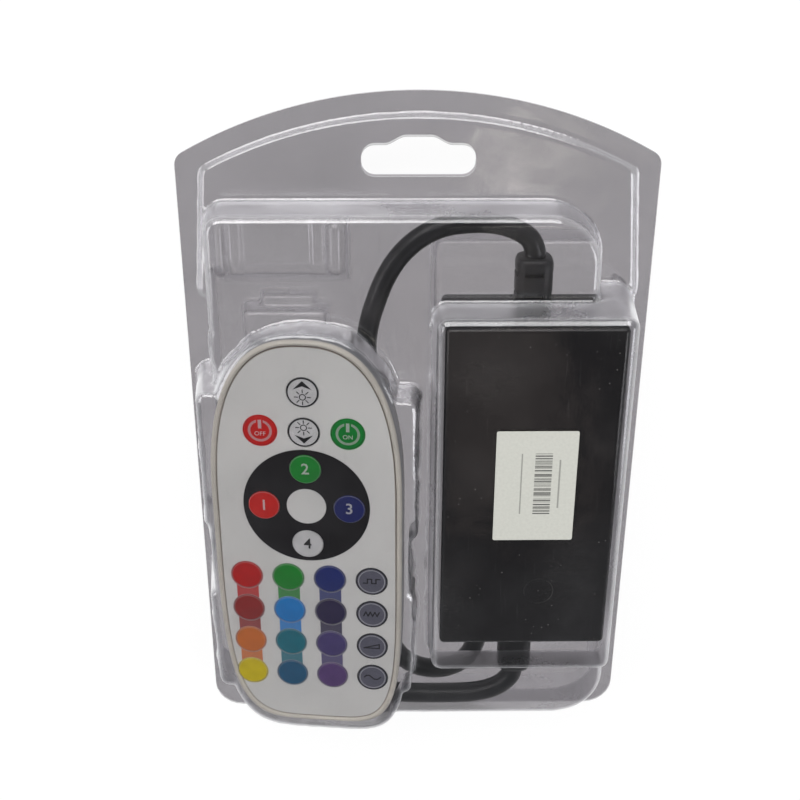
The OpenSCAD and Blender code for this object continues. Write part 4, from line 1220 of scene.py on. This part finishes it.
class LEDPACK_OT_tray(bpy.types.Operator):
    """The clear back tray with its basin, lands, ribs and pillars"""

    bl_idname = "ledpack.tray"
    bl_label = "Back tray"

    def execute(self, context):
        sizes, colours = context.scene.ledpack_sizes, context.scene.ledpack_colours

        def basin(grow):
            low_x, high_x, step_x = -61.5 - grow, 62.5 + grow, 53.2 + grow
            low_y, high_y, step_y = -101.5 - grow, 72.5 + grow, 52.0 + grow
            right = [(high_x, low_y), (high_x, step_y), (step_x, step_y), (step_x, high_y)]
            corners = [(low_x, low_y), *right, (low_x, high_y)]
            return rounded(corners, (8, 8, 6, 2, 12, 8), 9)

        levels = ((-1.45, 0.5), (-0.5, TRAY_TOP), (-0.5, TRAY_TOP + 3))
        forms = [
            carved(blank(-5, TRAY_TOP), stacked("hollow", basin, levels)),
            land_form(5, 29, 58, 62, 10.0),
            land_form(48, -58, 57, 35, 10.0),
            land_form(30, -58, 52, -48, 10.0),
            drawn_form(-58, -20, [(69, -4), (69, 8.5), (54, 8.5), (51, 7.6), (46.5, 0.5), (46.5, -4)]),
            drawn_form(-50.7, -31, [(69, -4), (69, 9.5), (55, 9.5), (51.6, 8.3), (47.2, 0.5), (47.2, -4)]),
            rib_form(-57.2, 50.6, 69, 2.6),
            rib_form(-23.7, 50.6, 69, 3.7),
            land_form(-46.5, 36, -30.5, 43.7, 5.0, 1.0),
            land_form(-51.7, 29.6, -27, 39.9, 9.0, 1.5),
            pillar_form(-32.4, -46, 22.3, 4, 11),
            pillar_form(-30, -80, 22.7, 2.6, 6.6),
            pillar_form(-53.5, -71, 20.3, 2, 4.6),
            land_form(-20.1, -9.4, -17.4, 19.4, 24.0, 1.3),
        ]
        skin = shrunk_over("back_tray_sheet", forms, sizes.cell, 2)
        trimmed(skin, -0.2, flange_outline(), slot_outline(), TRAY_TOP)
        thinned(skin, sizes.sheet)
        tint_and_shade = tuple(colours.tray_tint_and_shade)
        settle(skin, "pack", "clear_tray", clear_sheet("clear_tray", tint_and_shade, 0.04), "back_tray")
        return {"FINISHED"}


class LEDPACK_OT_label(bpy.types.Operator):
    """The small label on the box dome"""

    bl_idname = "ledpack.label"
    bl_label = "Label"

    def execute(self, context):
        def outline(grow):
            return box_outline(22.2, -21.5, 45.8, 14.7, (0.6, 0.6, 0.6, 0.6), grow, 5)

        label = smooth(stacked("label", outline, ((0, 38.1), (0, 38.25))), 30)
        paper = tuple(context.scene.ledpack_colours.paper)
        finish = label_finish("label_paper", paper, (0.03, 0.03, 0.03))
        settle(label, "cover", "label_paper", finish, "price_label")
        return {"FINISHED"}


class LEDPACK_OT_case(bpy.types.Operator):
    """The glossy case: a block with eased edges, hollowed from below, with a hole for each gland"""

    bl_idname = "ledpack.case"
    bl_label = "Case"

    def execute(self, context):
        sizes, colours = context.scene.ledpack_sizes, context.scene.ledpack_colours
        low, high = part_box("controller_case")
        case = added(bpy.ops.mesh.primitive_cube_add, size=1, location=(low + high) / 2, scale=high - low)
        case.name = "case"
        placed_here(case)
        bpy.ops.object.mode_set(mode="EDIT")
        bpy.ops.mesh.select_all(action="DESELECT")
        bpy.ops.mesh.select_mode(type="EDGE")
        shape = bmesh.from_edit_mesh(case.data)
        for edge in shape.edges:
            edge.select_set(max(vertex.co.z for vertex in edge.verts) > low.z + 0.001)
        shape.select_flush_mode()
        bmesh.update_edit_mesh(case.data)
        bpy.ops.mesh.bevel(offset=sizes.case_edge, segments=6, affect="EDGES")
        bpy.ops.mesh.select_mode(type="FACE")
        bpy.ops.mesh.select_all(action="DESELECT")
        shape = bmesh.from_edit_mesh(case.data)
        for face in shape.faces:
            face.select_set(face.calc_center_median().z < low.z + 0.00001)
        bmesh.update_edit_mesh(case.data)
        bpy.ops.mesh.inset(thickness=0.002)
        bpy.ops.mesh.extrude_region_move(TRANSFORM_OT_translate={"value": (0, 0, high.z - low.z - 0.002)})
        bpy.ops.object.mode_set(mode="OBJECT")
        lead_z = low.z + 0.0095
        drill = added(
            bpy.ops.mesh.primitive_cylinder_add, vertices=48, radius=0.0043, depth=0.2,
            rotation=(math.pi / 2, 0, 0), location=((low.x + high.x) / 2, (low.y + high.y) / 2, lead_z)
        )
        smooth(merged(carved(case, drill)), 30)
        finish = black_case_finish("black_case", tuple(colours.case))
        settle(case, "pack", "black_case", finish, "controller_case")
        return {"FINISHED"}


def placed_here(piece):
    pick(piece)
    bpy.ops.object.transform_apply(location=True, rotation=True, scale=True)
    return piece


class LEDPACK_OT_glands(bpy.types.Operator):
    """The strain reliefs of both leads, with their flexing slots"""

    bl_idname = "ledpack.glands"
    bl_label = "Glands"

    def execute(self, context):
        rubber = moulded("black_rubber", (0.016, 0.016, 0.018), 0.42, 1.4, 0.2, 0.012)
        for name, node, length, flip in (
            ("mains_relief", "mains_gland", 15.0, 1), ("output_relief", "output_gland", 21.0, -1)
        ):
            low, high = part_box(node)
            middle = (low + high) / 2 / MM
            wall = high.y / MM - length if flip > 0 else low.y / MM + length
            rings = []
            for radius, along in (
                (3.2, -4.6), (5.3, -4.6), (5.6, -4.2), (5.6, -2.3), (4.2, -2.2), (4.2, 0.1), (5.2, 0.1),
                (5.3, 0.3), (5.3, length - 1.6), (5.1, length - 0.7), (4.8, length - 0.2), (4.5, length),
                (2.9, length),
            ):
                outline = round_ring(radius, 48, 3.4 if radius > 4.3 and along > 0 else 2)
                rings.append([(middle.x + x, wall + flip * along, middle.z + z) for x, z in outline])
            relief = lofted(name, rings)
            for step in range(2):
                along = wall + flip * length * (0.30 + 0.42 * step)
                for place, scale in (
                    ((middle.x - 5.2, along, middle.z - 1.0), (0.0024, 0.0016, 0.009)),
                    ((middle.x + 5.2, along, middle.z - 1.0), (0.0024, 0.0016, 0.009)),
                    ((middle.x - 0.4, along, middle.z + 5.0), (0.0052, 0.0012, 0.0024)),
                ):
                    cube = bpy.ops.mesh.primitive_cube_add
                    carved(relief, added(cube, size=1, location=Vector(place) * MM, scale=scale))
            smooth(merged(relief), 35)
            settle(relief, "pack", "black_rubber", rubber, node)
        return {"FINISHED"}


class LEDPACK_OT_leads(bpy.types.Operator):
    """Both round leads in their packed course"""

    bl_idname = "ledpack.leads"
    bl_label = "Leads"

    def execute(self, context):
        sizes = context.scene.ledpack_sizes
        jacket = cord_jacket("black_cord", (0.014, 0.014, 0.016))
        mains = lead_form("mains_flex", MAINS_ROUTE, sizes.mains_lead)
        output = lead_form("output_flex", OUTPUT_ROUTE, sizes.output_lead)
        settle(mains, "pack", "black_cord", jacket, "mains_lead")
        settle(output, "pack", "black_cord", jacket, "output_lead")
        return {"FINISHED"}


class LEDPACK_OT_plugs(bpy.types.Operator):
    """The mains plug and the strip connector"""

    bl_idname = "ledpack.plugs"
    bl_label = "Plug and connector"

    def execute(self, context):
        dress_rows(
            ("plug_body", 0.8, "black_plug", (0.02, 0.02, 0.022), 0.45, 1.2, 0.2, 0.015),
            ("plug_pins", 0, "nickel_pins", (0.72, 0.71, 0.68), 0.22, 2.5, 0.05, 0.05, 1.0),
            ("output_connector", 0.3, "white_connector", (0.82, 0.82, 0.78), 0.4, 1.5, 0.1, 0.04),
            ("connector_pins", 0, "gilt_contacts", (0.82, 0.66, 0.34), 0.25, 2.5, 0.05, 0.05, 1.0),
        )
        return {"FINISHED"}


class LEDPACK_OT_case_inside(bpy.types.Operator):
    """The base plate, the screws and the board with its parts"""

    bl_idname = "ledpack.case_inside"
    bl_label = "Inside the case"

    def execute(self, context):
        dress_rows(
            ("controller_base", 0.4, "black_base", (0.022, 0.022, 0.024), 0.5, 1.3, 0.25, 0.015),
            ("case_screws", 0.15, "screw_steel", (0.6, 0.6, 0.62), 0.3, 2.5, 0.08, 0.06, 1.0),
            ("controller_board", 0.1, "green_board", (0.02, 0.13, 0.05), 0.35, 0.6, 0.1, 0.05),
            ("bridge_rectifier", 0.3, "black_epoxy", (0.03, 0.03, 0.034), 0.5, 1.5, 0.15, 0.02),
            ("bulk_capacitor", 0.3, "capacitor_can", (0.03, 0.05, 0.2), 0.3, 1.2, 0.05, 0.03),
            ("mains_fuse", 0.1, "fuse_caps", (0.75, 0.75, 0.78), 0.2, 2.5, 0.05, 0.04, 1.0),
            ("switching_transistors", 0.2, "black_epoxy"),
            ("control_chip", 0.05, "black_epoxy"),
            ("radio_receiver", 0.1, "radio_board", (0.04, 0.2, 0.1), 0.4, 0.8, 0.1, 0.05),
        )
        return {"FINISHED"}


def remote_outline(inset):
    return egg_outline(HALF - inset, UP - inset, DOWN - inset)


def key_drills(name, vertices, radius, depth, z):
    """One cylinder at the place of each key, joined into one cutter."""
    cutters = []
    for (x, y), *_ in KEYS.values():
        place = Vector((x, y, z)) * MM
        cylinder = bpy.ops.mesh.primitive_cylinder_add
        cutters.append(added(cylinder, vertices=vertices, radius=radius, depth=depth, location=place))
    return joined(name, *cutters)


class LEDPACK_OT_remote_shell(bpy.types.Operator):
    """The remote's two cream halves and its battery drawer"""

    bl_idname = "ledpack.remote_shell"
    bl_label = "Remote shell"

    def execute(self, context):
        cream = self.cream(tuple(context.scene.ledpack_colours.cream))
        rim = self.front()
        settle(rim, "pack", "cream_plastic", cream, "remote_bezel")
        settle(self.back(), "pack", "cream_plastic", cream, "remote_back")
        settle(dressed("battery_drawer", 0.3), "pack", "cream_plastic", cream, "battery_drawer")
        return {"FINISHED"}

    def cream(self, colour):
        finish = Finish("cream_plastic", colour, 0.3)
        spot = finish.place(REMOTE_PLACE)
        height = finish.split(spot)[2]
        cloud = finish.noise(spot, 0.07, 3.0)
        tone = finish.blend(finish.ramp(cloud, 0.35, 0.75), colour, toned(colour, 0.9))
        # Painted shade: below the rim's top the shell turns grey by height, greying its outer walls, its back
        # and the drawer.
        tone = finish.blend(finish.ramp(height, -0.35, -1.1), tone, (0.34, 0.35, 0.37))
        finish.set("Base Color", tone)
        finish.set("Roughness", 0.24 + 0.16 * cloud)
        finish.bump(finish.noise(spot, 1.5, 3.0), 0.08, 0.0002)
        return finish.material

    def front(self):
        levels = (
            (1.5, -5.0), (0.02, -5.0), (0.0, -4.9), (0.0, -0.9), (0.06, -0.35), (0.22, 0.05), (0.5, 0.36),
            (0.8, 0.5), (1.1, 0.46), (1.42, 0.22), (1.62, -0.1), (1.72, -0.6), (1.74, -0.66),
        )
        rim = stacked("remote_front", remote_outline, levels)
        hollow = stacked("hollow", remote_outline, ((1.5, -7), (1.5, -2.05)))
        carved(rim, hollow, key_drills("drills", 40, 0.00215, 0.012, -3))
        carved(rim, key_drills("sunk", 48, KEY_HOLE_R, 0.003, 0.4))
        return smooth(placed(merged(rim), REMOTE_PLACE), 30)

    def back(self):
        levels = (
            (1.5, -5.05), (0.1, -5.05), (0.0, -5.15), (0.0, -8.2), (0.2, -9.1), (0.7, -9.9), (1.5, -10.4),
            (2.3, -10.5),
        )
        shell = stacked("remote_rear", remote_outline, levels)
        hollow = stacked("hollow", remote_outline, ((1.5, -9.0), (1.5, -3.0)))
        drawer = added(
            bpy.ops.mesh.primitive_cube_add,
            size=1, location=(0, -0.06165, -0.009075), scale=(0.0244, 0.0393, 0.00485)
        )
        carved(shell, hollow, drawer)
        return smooth(placed(merged(shell), REMOTE_PLACE), 30)


class LEDPACK_OT_overlay(bpy.types.Operator):
    """The remote's printed film"""

    bl_idname = "ledpack.overlay"
    bl_label = "Overlay"

    def execute(self, context):
        film = tuple(context.scene.ledpack_colours.film)
        highlight_halos, rings = [], []
        for name, key in KEYS.items():
            centre, colour = key[:2]
            # The pale halos round the colour keys are painted highlight, not print.
            if name.startswith("key_r") and name != "key_red":
                highlight_halos.append((centre, 5.05, toned(colour, 0.5, 0.3)))
            elif name in ("key_off", "key_on"):
                rings.append((centre, 5.1, colour))
            elif name.startswith("key_mode"):
                rings.append((centre, 4.95, (0.02, 0.02, 0.024)))
        bars = [[toned(KEY_ROWS[row][column], 0.88, 0.08) for row in range(3)] for column in range(3)]
        finish = overlay_finish("grey_overlay", film, {"bars": bars, "highlight_halos": highlight_halos, "rings": rings})
        settle(self.film(), "pack", "grey_overlay", finish, "remote_overlay")
        return {"FINISHED"}

    def film(self):
        levels = ((1.78, -0.6), (1.78, -0.06), (1.84, 0.0))
        film = stacked("remote_film", remote_outline, levels)
        carved(film, key_drills("holes", 56, KEY_HOLE_R, 0.003, -0.3))
        return smooth(placed(merged(film), REMOTE_PLACE), 30)


class LEDPACK_OT_keys(bpy.types.Operator):
    """One key, shaped once and copied to its places, each with its own printed face"""

    bl_idname = "ledpack.keys"
    bl_label = "Keys"

    def execute(self, context):
        model = self.key()
        for name, (centre, colour, sign, mark) in KEYS.items():
            piece = model.copy()
            piece.data = model.data.copy()
            piece.name = name + "_pad"
            piece.data.name = piece.name
            bpy.context.scene.collection.objects.link(piece)
            piece.data.materials.append(key_finish(name, colour, centre, sign))
            if mark:
                piece = self.marked(piece, mark, colour)
            placed(piece, REMOTE_PLACE @ Matrix.Translation((centre[0], centre[1], 0)))
            settle(piece, name + "_body", name, None, name)
        bpy.data.objects.remove(model)
        return {"FINISHED"}

    def key(self):
        levels = (
            (2.0, -2.2), (2.0, -0.62), (4.55, -0.62), (4.7, -0.5), (4.7, -0.06), (4.62, 0.07), (4.45, 0.13),
            (4.1, 0.15), (3.0, 0.12), (1.5, 0.1),
        )
        return smooth(stacked("key_model", round_ring, levels), 45)

    def marked(self, piece, mark, colour):
        """Adds a plain raised numeral, or the word of a switch, to a key's face."""
        name = piece.name
        words, size, lift = mark
        text = added(bpy.ops.object.text_add)
        text.data.body = words
        text.data.size = size * MM
        text.data.align_x = "CENTER"
        text.data.align_y = "CENTER"
        text.data.extrude = 0.00002
        text.data.offset = 0.00001 * size if size > 3 else 0.0
        bpy.ops.object.convert(target="MESH")
        numeral = bpy.context.object
        numeral.location = (0, lift * MM, 0.00014)
        placed_here(numeral)
        ink = (0.02, 0.02, 0.02) if min(colour) > 0.5 else toned(colour, 0.25, 0.6)
        numeral.data.materials.clear()
        numeral.data.materials.append(moulded("ink_" + name, ink, 0.4, 1.5, 0.05, 0.02))
        return joined(name, numeral, piece)


class LEDPACK_OT_remote_inside(bpy.types.Operator):
    """The snap domes, the board, the emitter, the cell and its clip"""

    bl_idname = "ledpack.remote_inside"
    bl_label = "Inside the remote"

    def execute(self, context):
        dress_rows(
            ("contact_domes", 0.0, "snap_dome_steel", (0.62, 0.62, 0.64), 0.3, 2.0, 0.1, 0.08, 1.0),
            ("remote_board", 0.08, "green_board", (0.02, 0.12, 0.05), 0.35, 0.6, 0.1, 0.05),
            ("remote_emitter", 0.0, "emitter_resin", (0.16, 0.13, 0.2), 0.12, 1.0, 0.02, 0.02),
            ("coin_cell", 0.15, "cell_steel", (0.68, 0.68, 0.7), 0.25, 2.2, 0.08, 0.06, 1.0),
            ("battery_clip", 0.05, "gilt_contacts", (0.78, 0.66, 0.4), 0.28, 2.2, 0.05, 0.05, 1.0),
        )
        return {"FINISHED"}


class LEDPACK_PT_panel(bpy.types.Panel):
    """Lists the sizes, the colours and the steps"""

    bl_idname = "LEDPACK_PT_panel"
    bl_label = "LED Controller Pack"
    bl_space_type = "VIEW_3D"
    bl_region_type = "UI"
    bl_category = "LED Pack"

    def draw(self, context):
        for group in (context.scene.ledpack_sizes, context.scene.ledpack_colours):
            box = self.layout.box()
            for name in group.bl_rna.properties.keys():
                if name not in ("rna_type", "name"):
                    box.prop(group, name)
        for step in STEPS:
            self.layout.operator(step.bl_idname)


STEPS = (
    LEDPACK_OT_stage,
    LEDPACK_OT_cover,
    LEDPACK_OT_tray,
    LEDPACK_OT_label,
    LEDPACK_OT_case,
    LEDPACK_OT_glands,
    LEDPACK_OT_leads,
    LEDPACK_OT_plugs,
    LEDPACK_OT_case_inside,
    LEDPACK_OT_remote_shell,
    LEDPACK_OT_overlay,
    LEDPACK_OT_keys,
    LEDPACK_OT_remote_inside,
)
CLASSES = (PackSizes, PackColours, *STEPS, LEDPACK_PT_panel)


def register():
    for kind in CLASSES:
        bpy.utils.register_class(kind)
    bpy.types.Scene.ledpack_sizes = bpy.props.PointerProperty(type=PackSizes)
    bpy.types.Scene.ledpack_colours = bpy.props.PointerProperty(type=PackColours)


def unregister():
    del bpy.types.Scene.ledpack_colours
    del bpy.types.Scene.ledpack_sizes
    for kind in reversed(CLASSES):
        bpy.utils.unregister_class(kind)


def main():
    register()
    for step in STEPS:
        group, name = step.bl_idname.split(".")
        getattr(getattr(bpy.ops, group), name)()
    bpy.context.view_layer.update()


if __name__ == "__main__":
    main()
